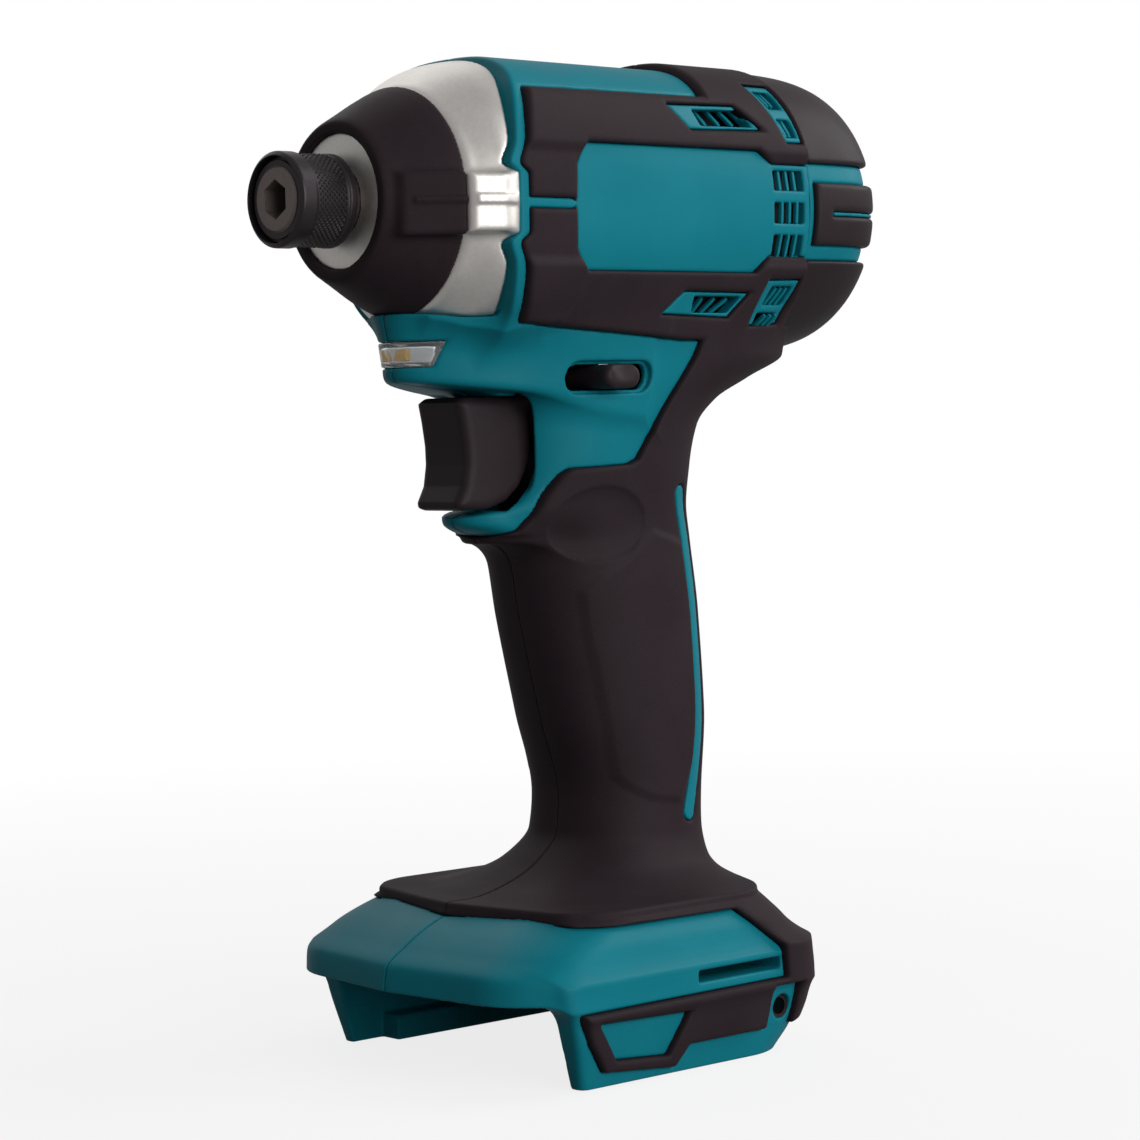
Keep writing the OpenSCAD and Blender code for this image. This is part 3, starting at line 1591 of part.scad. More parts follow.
housing_left();
housing_right();
grip_left();
grip_right();
rear_cover();
rear_cover_screws();
housing_screws();
hammer_case();
nose_bumper();
anvil_bush();
anvil_thrust_washer();
case_o_ring();
ring_gear();
gear_housing();
spindle_bearing();
motor_front_bearing();
motor_rear_bearing();
motor_yoke();
motor_magnets();
brush_plate();
carbon_brushes();
brush_springs();
switch_body();
heat_sink();
led_board();
led_lens();
terminal_block();
battery_contacts();
hook_inserts();
battery_leads();
motor_leads();
led_leads();
anvil();
sleeve_washer();
sleeve_clip();
sleeve_spring();
bit_sleeve();
bit_ball_left();
bit_ball_right();
spindle();
planet_pins();
cam_balls();
spindle_bearing_ring();
hammer_spring();
hammer();
hammer_thrust_balls();
hammer_thrust_washer();
planet_gear_1();
planet_gear_2();
planet_gear_3();
armature_shaft();
armature_core();
armature_winding();
commutator();
cooling_fan();
trigger();
reverse_lever();
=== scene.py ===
import bmesh
import bpy
import json
import math
import numpy as np
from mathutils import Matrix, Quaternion, Vector


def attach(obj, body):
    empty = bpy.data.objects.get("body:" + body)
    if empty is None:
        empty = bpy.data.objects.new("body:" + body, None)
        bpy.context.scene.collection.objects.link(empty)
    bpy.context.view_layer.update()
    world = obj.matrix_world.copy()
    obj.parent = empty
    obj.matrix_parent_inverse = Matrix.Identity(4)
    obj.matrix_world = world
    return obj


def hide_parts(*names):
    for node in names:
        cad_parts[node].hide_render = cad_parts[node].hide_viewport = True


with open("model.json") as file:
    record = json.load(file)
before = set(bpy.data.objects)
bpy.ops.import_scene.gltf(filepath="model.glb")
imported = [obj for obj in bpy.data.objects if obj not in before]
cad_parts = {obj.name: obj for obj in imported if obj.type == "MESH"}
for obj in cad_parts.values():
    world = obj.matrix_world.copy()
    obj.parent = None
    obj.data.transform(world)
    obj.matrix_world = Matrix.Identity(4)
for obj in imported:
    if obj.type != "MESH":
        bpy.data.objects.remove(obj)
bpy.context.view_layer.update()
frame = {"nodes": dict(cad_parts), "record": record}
scene = bpy.context.scene
scene.view_settings.view_transform = "Standard"
print("frame loaded,", len(frame["nodes"]), "nodes")

# All working sizes below are millimetres in the CAD frame; meshes are written in metres
mm = 0.001
axisZ = 163.5  # height of the bit axis
bandZ = 162.1  # middle of the side band on the head


# camera and light
studio = {
    "cameraAt": (410.305, 469.958, 123.022),
    "cameraAim": (-0.715, 0.0, 93.0),
    "roll": -1.4287,
    "lens": 100.76,
    "lampAim": (0, 0, 100),
    "floorColour": (0.93, 0.93, 0.93),
    "floorBounce": (0.14, 0.14, 0.14, 1),  # what the floor gives back to the object's underside
    "lamps": [
        # place, size, watts
        ((20, 900, 220), 900, 7.9),
        ((-600, 250, 560), 500, 2.6),
        ((-100, -600, 700), 700, 1.3),
    ],
    "worldStrength": 0.10,
    "mirroredWorld": 0.36,  # share of the white background that shiny surfaces see
    "mirroredFloor": 0.3,  # and of the floor
    "floorHalf": 12.0,  # metres
    # share of white over metres from the object
    "floorFade": {"From Min": 0.10, "From Max": 0.55, "To Min": 0.82, "To Max": 1.0},
}


def aimed(name, data, place, aim, roll=0.0):
    thing = bpy.data.objects.new(name, data)
    place, aim = Vector(place) * mm, Vector(aim) * mm
    thing.location = place
    thing.rotation_mode = "QUATERNION"
    thing.rotation_quaternion = (aim - place).to_track_quat("-Z", "Y") @ Quaternion((0, 0, 1), math.radians(roll))
    scene.collection.objects.link(thing)
    return thing


def addCamera():
    data = bpy.data.cameras.new("camera")
    data.lens = studio["lens"]
    data.sensor_width = 36
    data.clip_start = 0.01
    scene.camera = aimed("camera", data, studio["cameraAt"], studio["cameraAim"], studio["roll"])


def addLamps():
    for i, (place, size, watts) in enumerate(studio["lamps"]):
        data = bpy.data.lights.new("softbox%d" % i, "AREA")
        data.energy = watts
        data.size = size * mm
        aimed("softbox%d" % i, data, place, studio["lampAim"])


# shader maths on sockets
class Val:
    def __init__(self, tree, socket):
        self.tree, self.socket = tree, socket

    def maths(self, operation, a, b):
        node = self.tree.nodes.new("ShaderNodeMath")
        node.operation = operation
        for slot, value in zip(node.inputs, (a, b)):
            feed(self.tree, slot, value)
        return Val(self.tree, node.outputs[0])

    def __add__(self, other):
        return self.maths("ADD", self, other)

    def __mul__(self, other):
        return self.maths("MULTIPLY", self, other)

    def most(self, other):
        return self.maths("MAXIMUM", self, other)


def feed(tree, slot, value):
    if isinstance(value, Val):
        tree.links.new(value.socket, slot)
    else:
        slot.default_value = value


class Finish:
    def __init__(self, name):
        self.material = bpy.data.materials.new(name)
        self.material.use_nodes = True
        self.tree = self.material.node_tree
        self.tree.nodes.clear()
        self.output = self.tree.nodes.new("ShaderNodeOutputMaterial")
        self.shader = self.tree.nodes.new("ShaderNodeBsdfPrincipled")
        self.tree.links.new(self.shader.outputs[0], self.output.inputs[0])

    def node(self, kind, settings=None, sockets=None, out=0):
        made = self.tree.nodes.new(kind)
        for key, value in (settings or {}).items():
            setattr(made, key, value)
        for key, value in (sockets or {}).items():
            feed(self.tree, made.inputs[key], value)
        return Val(self.tree, made.outputs[out])

    def coords(self):
        return self.node("ShaderNodeTexCoord", out="Object")

    def noise(self, size, detail):
        # size is the grain's size in millimetres
        return self.node("ShaderNodeTexNoise", None, {
            "Vector": self.coords(), "Scale": 1000.0 / size, "Detail": detail, "Roughness": 0.55})

    def spread(self, value, low, high):
        return self.node("ShaderNodeMapRange", None, {
            "Value": value, "From Min": 0.3, "From Max": 0.7, "To Min": low, "To Max": high})

    def blend(self, amount, first, second):
        return self.node("ShaderNodeMix", {"data_type": "RGBA"}, {0: amount, 6: first, 7: second}, out=2)

    def tint(self, amount, dark, light):
        return self.blend(amount, (*dark, 1), (*light, 1))

    def bump(self, height, strength, distance):
        return self.node("ShaderNodeBump", None, {
            "Height": height, "Strength": strength, "Distance": distance * mm})

    def set(self, **sockets):
        for key, value in sockets.items():
            name = {"colour": "Base Color", "rough": "Roughness", "metal": "Metallic", "normal": "Normal",
                    "ior": "IOR", "clear": "Transmission Weight", "specular": "Specular IOR Level"}[key]
            feed(self.tree, self.shader.inputs[name], value)
        return self.material


mouldedLooks = {
    # dark and light colour, roughness, grain and its depth in mm, specular level
    "tealPlastic": ((0.004, 0.205, 0.265), (0.007, 0.236, 0.302), 0.42, 0.30, 0.008, 0.10),
    "charcoalRubber": ((0.026, 0.017, 0.021), (0.036, 0.025, 0.030), 0.58, 0.42, 0.030, 0.08),
    "blackPlastic": ((0.022, 0.015, 0.018), (0.031, 0.022, 0.026), 0.45, 0.35, 0.012, 0.13),
    "ferrite": ((0.030, 0.030, 0.032), (0.050, 0.050, 0.052), 0.55, 0.6, 0.012, 0.13),
    "brushCarbon": ((0.018, 0.018, 0.019), (0.040, 0.040, 0.041), 0.60, 0.5, 0.012, 0.13),
    "leadCover": ((0.020, 0.018, 0.018), (0.034, 0.030, 0.030), 0.48, 0.5, 0.012, 0.13),
    "lampAmber": ((0.62, 0.36, 0.10), (0.76, 0.48, 0.16), 0.4, 0.5, 0.012, 0.13),
}
brushedLooks = {
    # dark and light colour, roughness, grain and its depth in mm, share of metal
    "castAluminium": ((0.66, 0.63, 0.60), (0.77, 0.74, 0.71), 0.50, 0.7, 0.012, 1.0),
    "machinedSteel": ((0.42, 0.42, 0.43), (0.55, 0.55, 0.56), 0.30, 0.5, 0.006, 1.0),
    # also put on the motor yoke as painted shade, so the vents read dark
    "blackOxide": ((0.026, 0.021, 0.024), (0.046, 0.038, 0.042), 0.42, 0.4, 0.006, 0.7),
    "bearingBronze": ((0.45, 0.29, 0.11), (0.56, 0.38, 0.17), 0.36, 0.5, 0.006, 1.0),
    "copperWire": ((0.60, 0.24, 0.10), (0.72, 0.33, 0.16), 0.34, 0.5, 0.006, 1.0),
    "socketSteel": ((0.17, 0.14, 0.13), (0.24, 0.20, 0.18), 0.5, 0.5, 0.006, 0.4),
    "lampSilver": ((0.70, 0.70, 0.69), (0.82, 0.82, 0.81), 0.25, 0.5, 0.006, 1.0),
}


def moulded(name, dark, light, rough, grain, depth, specular):
    f = Finish(name)
    fine, broad = f.noise(grain, 2.0), f.noise(14.0, 3.0)
    mix = f.spread(fine * 0.35 + broad * 0.65, 0.0, 1.0)
    return f.set(colour=f.tint(mix, dark, light), rough=f.spread(broad, rough - 0.05, rough + 0.05),
                 normal=f.bump(fine, 0.55, depth), specular=specular)


def brushed(name, dark, light, rough, grain, depth, metal):
    f = Finish(name)
    fine, broad = f.noise(grain, 3.0), f.noise(9.0, 3.0)
    mix = f.spread(fine * 0.5 + broad * 0.5, 0.0, 1.0)
    return f.set(colour=f.tint(mix, dark, light), metal=metal, rough=f.spread(broad, rough - 0.06, rough + 0.06),
                 normal=f.bump(fine, 0.4, depth))


def makeFinishes():
    made = {name: moulded(name, *look) for name, look in mouldedLooks.items()}
    made.update({name: brushed(name, *look) for name, look in brushedLooks.items()})
    lens = Finish("clearLens")
    haze = lens.spread(lens.noise(1.2, 2.0), 0.03, 0.08)
    made["clearLens"] = lens.set(colour=(0.90, 0.92, 0.94, 1), rough=haze, clear=0.92, ior=1.49)
    return made


slotFinish = {
    "housing_plastic": "tealPlastic", "grip_elastomer": "charcoalRubber", "cast_aluminium": "castAluminium",
    "steel": "machinedSteel", "black_steel": "blackOxide", "bearing_bronze": "bearingBronze",
    "copper": "copperWire", "magnet": "ferrite", "carbon": "brushCarbon", "black_plastic": "blackPlastic",
    "clear_plastic": "clearLens", "lead_cover": "leadCover",
}


def raysOf(tree):
    path = tree.nodes.new("ShaderNodeLightPath")
    return [Val(tree, path.outputs[key]) for key in ("Is Camera Ray", "Is Glossy Ray", "Is Transmission Ray")]


def addFloor():
    f = Finish("paleFloor")
    seen, glossy, clear = raysOf(f.tree)
    pale = f.tint(f.noise(60.0, 2.0), [c * 0.99 for c in studio["floorColour"]], studio["floorColour"])
    f.set(colour=f.blend(seen, studio["floorBounce"], pale), rough=0.9)
    glow = f.node("ShaderNodeEmission", None, {"Color": (1, 1, 1, 1), "Strength": 1.0})
    away = f.node("ShaderNodeVectorMath", {"operation": "LENGTH"}, {0: f.coords()}, out="Value")
    share = f.node("ShaderNodeMapRange", None, {"Value": away, **studio["floorFade"]})
    factor = seen.most(glossy.most(clear) * studio["mirroredFloor"]) * share
    mix = f.node("ShaderNodeMixShader", None, {0: factor, 1: Val(f.tree, f.shader.outputs[0]), 2: glow})
    f.tree.links.new(mix.socket, f.output.inputs[0])
    mesh = bpy.data.meshes.new("floor")
    r = studio["floorHalf"]
    mesh.from_pydata([(-r, -r, 0), (r, -r, 0), (r, r, 0), (-r, r, 0)], [], [(0, 1, 2, 3)])
    mesh.materials.append(f.material)
    floor = bpy.data.objects.new("floor", mesh)
    scene.collection.objects.link(floor)


def addWorld():
    world = bpy.data.worlds.new("studio")
    world.use_nodes = True
    scene.world = world
    tree = world.node_tree
    tree.nodes.clear()
    out = tree.nodes.new("ShaderNodeOutputWorld")
    mix = tree.nodes.new("ShaderNodeMixShader")
    seen, glossy, clear = raysOf(tree)
    tree.links.new(seen.most(clear).most(glossy * studio["mirroredWorld"]).socket, mix.inputs[0])
    for i, strength in ((1, studio["worldStrength"]), (2, 1.0)):
        light = tree.nodes.new("ShaderNodeBackground")
        light.inputs[0].default_value = (1, 1, 1, 1)
        light.inputs[1].default_value = strength
        tree.links.new(light.outputs[0], mix.inputs[i])
    tree.links.new(mix.outputs[0], out.inputs[0])


addCamera()
addLamps()
finish = makeFinishes()
addFloor()
addWorld()
print("studio ready")


# Distance fields: a form is an array of distances on a grid, below zero inside
class Grid:
    def __init__(self, low, high, cell):
        self.low, self.cell = np.array(low, np.float32), cell
        lines = [np.arange(low[i], high[i] + 0.5 * cell, cell, dtype=np.float32) for i in range(3)]
        self.x, self.y, self.z = lines[0][:, None, None], lines[1][None, :, None], lines[2][None, None, :]
        self.shape = tuple(len(line) for line in lines)


def softMin(a, b, k):
    h = np.maximum(k - np.abs(a - b), 0) / k
    return np.minimum(a, b) - h * h * (0.25 * k)


def softMax(a, b, k):
    return -softMin(-a, -b, k)


def meet(first, *others):
    # what all the forms share
    for other in others:
        first = np.maximum(first, other)
    return first


def join(first, *others):
    for other in others:
        first = np.minimum(first, other)
    return first


def axisRadius(g):
    return np.sqrt(g.y ** 2 + (g.z - axisZ) ** 2)


def along(at, table):
    # smooth curve through the (place, value) rows of a table, without overshoot
    rows = np.array(sorted(table), float)
    p, v = rows[:, 0], rows[:, 1]
    gap, slope = np.diff(p), np.diff(v) / np.diff(p)
    m = np.zeros(len(p))
    m[0], m[-1] = slope[0], slope[-1]
    for i in range(1, len(p) - 1):
        if slope[i - 1] * slope[i] > 0:
            w1, w2 = 2 * gap[i] + gap[i - 1], gap[i] + 2 * gap[i - 1]
            m[i] = (w1 + w2) / (w1 / slope[i - 1] + w2 / slope[i])
    flat = np.clip(np.asarray(at, float), p[0], p[-1])
    i = np.clip(np.searchsorted(p, flat) - 1, 0, len(p) - 2)
    t = (flat - p[i]) / gap[i]
    value = (v[i] * (1 + 2 * t) * (1 - t) ** 2 + v[i + 1] * t * t * (3 - 2 * t)
             + gap[i] * (m[i] * t * (1 - t) ** 2 - m[i + 1] * t * t * (1 - t)))
    return value.astype(np.float32)


def roundNorm(u, v, a, b, power):
    # distance estimate to a superellipse of half sizes a and b
    p = power
    u, v = np.maximum(np.abs(u) / a, 1e-4), np.maximum(np.abs(v) / b, 1e-4)
    k = (u ** p + v ** p) ** (1 / p)
    steep = np.sqrt(((u / k) ** (p - 1) / a) ** 2 + ((v / k) ** (p - 1) / b) ** 2)
    return ((k - 1) / steep).astype(np.float32)


def nearest(u, v, starts, ends):
    # squared distance to the nearest of some segments in a plane
    near = np.full(np.broadcast_shapes(u.shape, v.shape), 1e9, np.float32)
    for a, b in zip(starts, ends):
        e = b - a
        du, dv = u - a[0], v - a[1]
        t = np.clip((du * e[0] + dv * e[1]) / (e @ e), 0, 1)
        near = np.minimum(near, (du - t * e[0]) ** 2 + (dv - t * e[1]) ** 2)
    return near


def outline(u, v, points):
    # distance to a closed outline, below zero inside
    ends = np.array(points, np.float32)
    starts = np.roll(ends, 1, 0)
    near = nearest(u, v, starts, ends)
    odd = np.zeros(near.shape, bool)
    for a, b in zip(starts, ends):
        if a[1] != b[1]:
            odd ^= ((a[1] <= v) != (b[1] <= v)) & (u - a[0] < (b - a)[0] * (v - a[1]) / (b - a)[1])
    return np.where(odd, -1, 1) * np.sqrt(near)


def sideOutline(g, points):
    # outline in X and Z, carried through the width
    return outline(g.x[:, :, 0], g.z[0], points)[:, None, :]


def sideLine(g, points, half):
    # line in X and Z with a half width
    pts = np.array(points, np.float32)
    return (np.sqrt(nearest(g.x[:, :, 0], g.z[0], pts[:-1], pts[1:])) - half)[:, None, :]


def eased(rows, rounds=2):
    # corner cutting, with both ends kept
    pts = np.array(rows, float)
    for _ in range(rounds):
        a, b = pts[:-1], pts[1:]
        cut = np.stack([0.75 * a + 0.25 * b, 0.25 * a + 0.75 * b], 1).reshape(-1, 2)
        pts = np.vstack([pts[:1], cut[1:-1], pts[-1:]])
    return [tuple(row) for row in pts]


def boxField(g, low, high):
    return meet(*[np.maximum(low[i] - c, c - high[i]) for i, c in enumerate((g.x, g.y, g.z))])


cellCorners = [(x, y, z) for x in (0, 1) for y in (0, 1) for z in (0, 1)]


def sample(field, g, points):
    q = (points - g.low) / g.cell
    top = np.array(field.shape) - 2
    i = np.clip(np.floor(q).astype(int), 0, top)
    t = np.clip(q - i, 0, 1)
    total = np.zeros(len(points), np.float32)
    for dx, dy, dz in cellCorners:
        w = np.abs(1 - dx - t[:, 0]) * np.abs(1 - dy - t[:, 1]) * np.abs(1 - dz - t[:, 2])
        total += w * field[i[:, 0] + dx, i[:, 1] + dy, i[:, 2] + dz]
    return total


def slopes(field, g, points, reach):
    axes = np.eye(3, dtype=np.float32) * reach * g.cell
    d = np.stack([sample(field, g, points + a) - sample(field, g, points - a) for a in axes], 1)
    return d / np.maximum(np.linalg.norm(d, axis=1, keepdims=True), 1e-9)


def skinOf(field, g):
    # surface net: one vertex in each cell that the surface crosses
    inside = field < 0
    n = [s - 1 for s in field.shape]
    count = np.zeros(n, np.uint8)
    for dx, dy, dz in cellCorners:
        count += inside[dx:n[0] + dx, dy:n[1] + dy, dz:n[2] + dz]
    cells = np.argwhere((count > 0) & (count < 8))
    index = np.full(n, -1, np.int32)
    index[tuple(cells.T)] = np.arange(len(cells))
    corner = {c: field[tuple((cells + c).T)] for c in cellCorners}
    total, hits = np.zeros((len(cells), 3), np.float32), np.zeros((len(cells), 1), np.float32)
    for a in corner:
        for axis in range(3):
            if a[axis]:
                continue
            b = tuple(1 if i == axis else a[i] for i in range(3))
            fa, fb = corner[a], corner[b]
            cut = (fa < 0) != (fb < 0)
            t = np.where(cut, fa / np.where(cut, fa - fb, 1), 0)
            at = np.repeat(np.array([a], np.float32), len(cells), 0)
            at[:, axis] = t
            total += at * cut[:, None]
            hits += cut[:, None]
    points = (cells + total / np.maximum(hits, 1)) * g.cell + g.low
    faces = []
    for axis in range(3):
        u, v = (axis + 1) % 3, (axis + 2) % 3
        span = [slice(1, m) for m in n]
        span[axis] = slice(0, n[axis])
        ahead = list(span)
        ahead[axis] = slice(1, n[axis] + 1)
        low, high = inside[tuple(span)], inside[tuple(ahead)]
        for crossed, turned in ((low & ~high, False), (~low & high, True)):
            at = np.argwhere(crossed)
            at[:, u] += 1
            at[:, v] += 1
            quad = []
            for du, dv in ((1, 1), (0, 1), (0, 0), (1, 0)):
                back = np.zeros(3, int)
                back[u], back[v] = du, dv
                quad.append(index[tuple((at - back).T)])
            quad = np.stack(quad, 1)
            faces.append(quad[:, ::-1] if turned else quad)
    return points.astype(np.float32), np.concatenate(faces)


def settle(points, field, g, rounds=2):
    for _ in range(rounds):
        d = sample(field, g, points)
        points = points - np.clip(d, -0.5 * g.cell, 0.5 * g.cell)[:, None] * slopes(field, g, points, 0.5)
    return points


triangleLimit = 180000  # per piece


def fieldPiece(name, field, g, side=1):
    # side -1 turns the form over to the right of the tool
    points, faces = skinOf(field, g)
    points = settle(points, field, g)
    mesh = bpy.data.meshes.new(name)
    mesh.vertices.add(len(points))
    mesh.vertices.foreach_set("co", points.astype(np.float32).ravel())
    mesh.loops.add(faces.size)
    mesh.loops.foreach_set("vertex_index", faces.astype(np.int32).ravel())
    mesh.polygons.add(len(faces))
    mesh.polygons.foreach_set("loop_start", np.arange(0, faces.size, 4, dtype=np.int32))
    mesh.update(calc_edges=True)
    mesh.validate()
    piece = bpy.data.objects.new(name, mesh)
    scene.collection.objects.link(piece)
    if 2 * len(faces) > triangleLimit:
        thin = piece.modifiers.new("thin", "DECIMATE")
        thin.ratio = triangleLimit / (2 * len(faces))
        mesh = bpy.data.meshes.new_from_object(piece.evaluated_get(bpy.context.evaluated_depsgraph_get()))
        piece.modifiers.clear()
        piece.data = mesh
    points = np.zeros((len(mesh.vertices), 3), np.float32)
    mesh.vertices.foreach_get("co", points.ravel())
    normals = slopes(field, g, points, 0.7)
    turn = np.array((1, side, 1), np.float32)
    mesh.vertices.foreach_set("co", (points * mm * turn).ravel())
    if side < 0:
        mesh.flip_normals()
    mesh.update()
    mesh.polygons.foreach_set("use_smooth", np.ones(len(mesh.polygons), bool))
    mesh.normals_split_custom_set_from_vertices((normals * turn).tolist())
    print("  ", name, len(mesh.vertices), "points")
    return piece


def put(piece, body, look, slot, *nodes):
    piece.data.materials.clear()
    piece.data.materials.append(finish[look])
    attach(piece, body)
    if nodes:
        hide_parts(*nodes)
    return piece


# Carried-over nodes take the finish of their slot, a few their own. The motor yoke is given black oxide as painted
# shade, so that the vents read dark.
ownFinishAndShade = {"motor_yoke": "blackOxide", "hook_inserts": "blackOxide", "anvil": "socketSteel",
             "sleeve_washer": "blackOxide", "sleeve_clip": "blackOxide"}
for part in frame["record"]["subparts"]:
    name = part["node"]
    if name in frame["nodes"]:
        look = ownFinishAndShade.get(name, slotFinish[part["material_slot"]])
        mesh = frame["nodes"][name].data
        mesh.materials.clear()
        mesh.materials.append(finish[look])
print("nodes finished")

# teal clamshell: outer form, openings and the recesses that hold the soft grip
shell = {
    "cell": 0.42,
    "low": (-53.0, -1.4, -1.4), "high": (50.0, 41.4, 193.6),
    "barrelRadius": 27.5, "seamX": -41.85, "headFront": 32.9, "frontPower": 2.9, "rearPower": 2.15,
    # X of the front edge over the height above or below the side band
    "frontEdge": [(0, 33.0), (5.2, 33.0), (7.2, 34.9), (11, 33.4), (16, 32.4), (21, 30.8), (25, 28.8), (30, 26.6)],
    # neck and handle: height, front, back, half width
    "column": [
        (150.0, 27.3, -46.0, 22.2), (139.9, 25.6, -49.0, 21.6), (134.5, 23.4, -49.8, 20.7),
        (130.0, 21.8, -40.2, 19.8), (126.0, 20.4, -31.2, 18.8), (121.0, 19.4, -26.0, 17.8),
        (113.0, 19.4, -24.3, 16.6), (106.0, 20.2, -24.0, 15.4), (99.0, 14.2, -24.6, 14.8),
        (84.0, 11.2, -26.4, 14.8), (65.0, 6.6, -27.1, 14.8), (49.0, 2.5, -25.5, 14.4),
        (42.0, 3.2, -25.1, 14.8), (36.0, 9.4, -25.4, 17.7), (32.4, 17.0, -26.0, 22.3), (30.0, 24.0, -26.8, 26.8),
    ],
    "columnPower": 2.6, "columnEnds": (29.0, 150.0), "coverRoom": 28.75,
    "wall": 2.4, "hollowFloor": 18.9, "bore": 25.1, "boreEnd": 33.0, "gripSink": 1.0, "gripGap": 0.08,
    "screws": [(24.9, 134.2), (-28.0, 131.9), (-16.5, 96.2), (-20.1, 58.9), (18.8, 22.1), (-21.0, 25.1)],
    "screwHole": 2.9, "screwFrom": 9.0,
}
nose = {  # cast case: half width, half height and squareness over X
    "half": [(25, 27.2), (33, 27.0), (34.5, 26.5), (36.5, 25.0), (39, 23.0), (40.2, 22.0), (41.2, 20.2), (44, 18.2),
             (47, 16.3), (50, 14.5), (52.4, 12.7), (53.4, 12.5)],
    "rise": [(25, 27.2), (30, 26.5), (33, 25.6), (36.5, 23.9), (39, 22.5), (40.2, 21.8), (41.2, 20.2), (44, 18.2),
             (47, 16.3), (50, 14.5), (52.4, 12.7), (53.4, 12.5)],
    "power": [(25, 2.6), (34.5, 2.25), (39, 2.05), (44, 2.0), (53.4, 2.0)],
    "floor": 141.9,  # the case stands flat on the chin
}


def face(c, z, table, lean=0.0):
    # a face whose place follows a table over the height
    place = along(z, table)
    slope = np.gradient(place.ravel(), z.ravel()).reshape(place.shape)
    return (c - place + lean) / np.sqrt(1 + slope * slope).astype(np.float32)


def headForm(g):
    ends, powers = (shell["seamX"], shell["headFront"]), (shell["rearPower"], shell["frontPower"])
    power = np.interp(g.x, ends, powers).astype(np.float32)
    return roundNorm(g.y, g.z - axisZ, shell["barrelRadius"], shell["barrelRadius"], power)


def frontEdge(g):
    return along(np.abs(g.z - bandZ), shell["frontEdge"])


def caseForm(g):
    half, rise, power = [along(g.x, nose[key]) for key in ("half", "rise", "power")]
    return roundNorm(g.y, g.z - axisZ, half, rise, power)


def columnForm(g):
    rows = shell["column"]
    front, back, half = [along(g.z, [(r[0], r[i]) for r in rows]) for i in (1, 2, 3)]
    f = roundNorm(g.x - (front + back) / 2, g.y, (front - back) / 2, half, shell["columnPower"])
    tail = meet(axisRadius(g) - shell["coverRoom"], g.x - shell["seamX"])
    low, high = shell["columnEnds"]
    return meet(f, -tail, g.z - high, low - g.z)


chin = {
    "front": [(126, 41.6), (131.5, 42.3), (134.4, 42.6), (138.5, 43.3), (142, 44.0)],
    "half": [(126, 17.0), (131.5, 18.5), (139, 20.0), (142, 20.0)],
    "bow": 0.075, "top": 141.8, "back": -2.4,
    "under": (127.7, 0.12, 22),  # height, its rise over X and the X that it starts from
    # collar under the case: thickness, X where it tapers, X from and to, bow of the front, rise of the top
    "collar": 1.6, "collarTaper": (29, 36), "collarSpan": (24, 44), "collarBow": 0.045, "collarRise": (0.6, 36),
}


def chinForm(g):
    y = np.abs(g.y)
    low, rise, start = chin["under"]
    bow = (g.x - along(g.z, chin["front"]) + chin["bow"] * y * y) / np.sqrt(1 + (2 * chin["bow"] * y) ** 2)
    f = softMax(bow, y - along(g.z, chin["half"]), 3)
    f = softMax(f, meet(low + rise * (g.x - start) - g.z, g.z - chin["top"]), 1.6)
    rise, start = chin["collarRise"]
    top = chin["top"] + rise * np.maximum(start - g.x, 0)
    back, ahead = chin["collarSpan"]
    thick = np.interp(g.x, chin["collarTaper"], (0, chin["collar"])).astype(np.float32)
    collar = meet(caseForm(g) - thick, g.z - top, g.x - ahead + chin["collarBow"] * y * y, back - g.x)
    return meet(softMin(f, collar, 4), chin["back"] - g.x)


# lip under the trigger
lip = {
    "front": [(100.2, 22.0), (101.5, 26.2), (103.2, 28.8), (106, 29.2)],
    "back": 4.9, "half": 9.0, "power": 2.1, "low": 100.5, "high": 105.7,
}


def lipForm(g):
    front, back = along(g.z, lip["front"]), lip["back"]
    f = roundNorm(g.x - (front + back) / 2, g.y, (front - back) / 2, lip["half"], lip["power"])
    return softMax(f, meet(g.z - lip["high"], lip["low"] - g.z), 1.6)


foot = {
    # front, half width and back over the height, and how far the corners are cut
    "front": [(16.4, 48.2), (20.8, 47.6), (24.3, 43.0), (27.0, 38.2), (29.0, 33.6), (30.0, 31.4)],
    "half": [(16.4, 37.4), (20, 37.6), (25, 36.2), (28, 34.3), (30, 32.7)],
    "back": [(16.4, -33.2), (20, -32.4), (25, -28.6), (30, -24.8)],
    "low": 16.4, "high": 30, "sweep": 0.10, "frontCut": 11, "backCut": 9,
    "railFront": [(0, 30.9), (12.9, 34.0), (18.6, 35.2)],
    "railHalf": [(0, 36.1), (12.9, 38.0), (18.6, 37.6)],
    "railBack": [(0, -27.0), (5, -31.0), (12.9, -33.4), (18.6, -33.2)],
    "railTop": 18.6,
}


def footForm(g):
    y = np.abs(g.y)
    front, half, back = [along(g.z, foot[key]) for key in ("front", "half", "back")]
    f = softMax(face(g.x, g.z, foot["front"], foot["sweep"] * y), face(y, g.z, foot["half"]), 3)
    f = softMax(f, (g.x + y - (front + half) + foot["frontCut"]) * 0.7, 4)
    f = softMax(f, face(-g.x, g.z, [(z, -x) for z, x in foot["back"]]), 3)
    f = softMax(f, (y - g.x - (half - back) + foot["backCut"]) * 0.7, 4)
    f = meet(softMax(f, g.z - foot["high"], 1.0), foot["low"] - g.z)
    front, half, back = [along(g.z, foot[key]) for key in ("railFront", "railHalf", "railBack")]
    rail = softMax(softMax(g.x - front, y - half, 2), back - g.x, 2)
    rail = softMax(rail, (y - g.x - half + back + foot["backCut"]) * 0.7, 4)
    return softMin(f, meet(rail, g.z - foot["railTop"], -g.z), 5)


def bodyForm(g):
    f = meet(softMax(headForm(g), g.x - frontEdge(g), 0.8), shell["seamX"] - g.x)
    for form, blend in ((columnForm, 5), (chinForm, 6), (lipForm, 5), (footForm, 6)):
        f = softMin(f, form(g), blend)
    return f


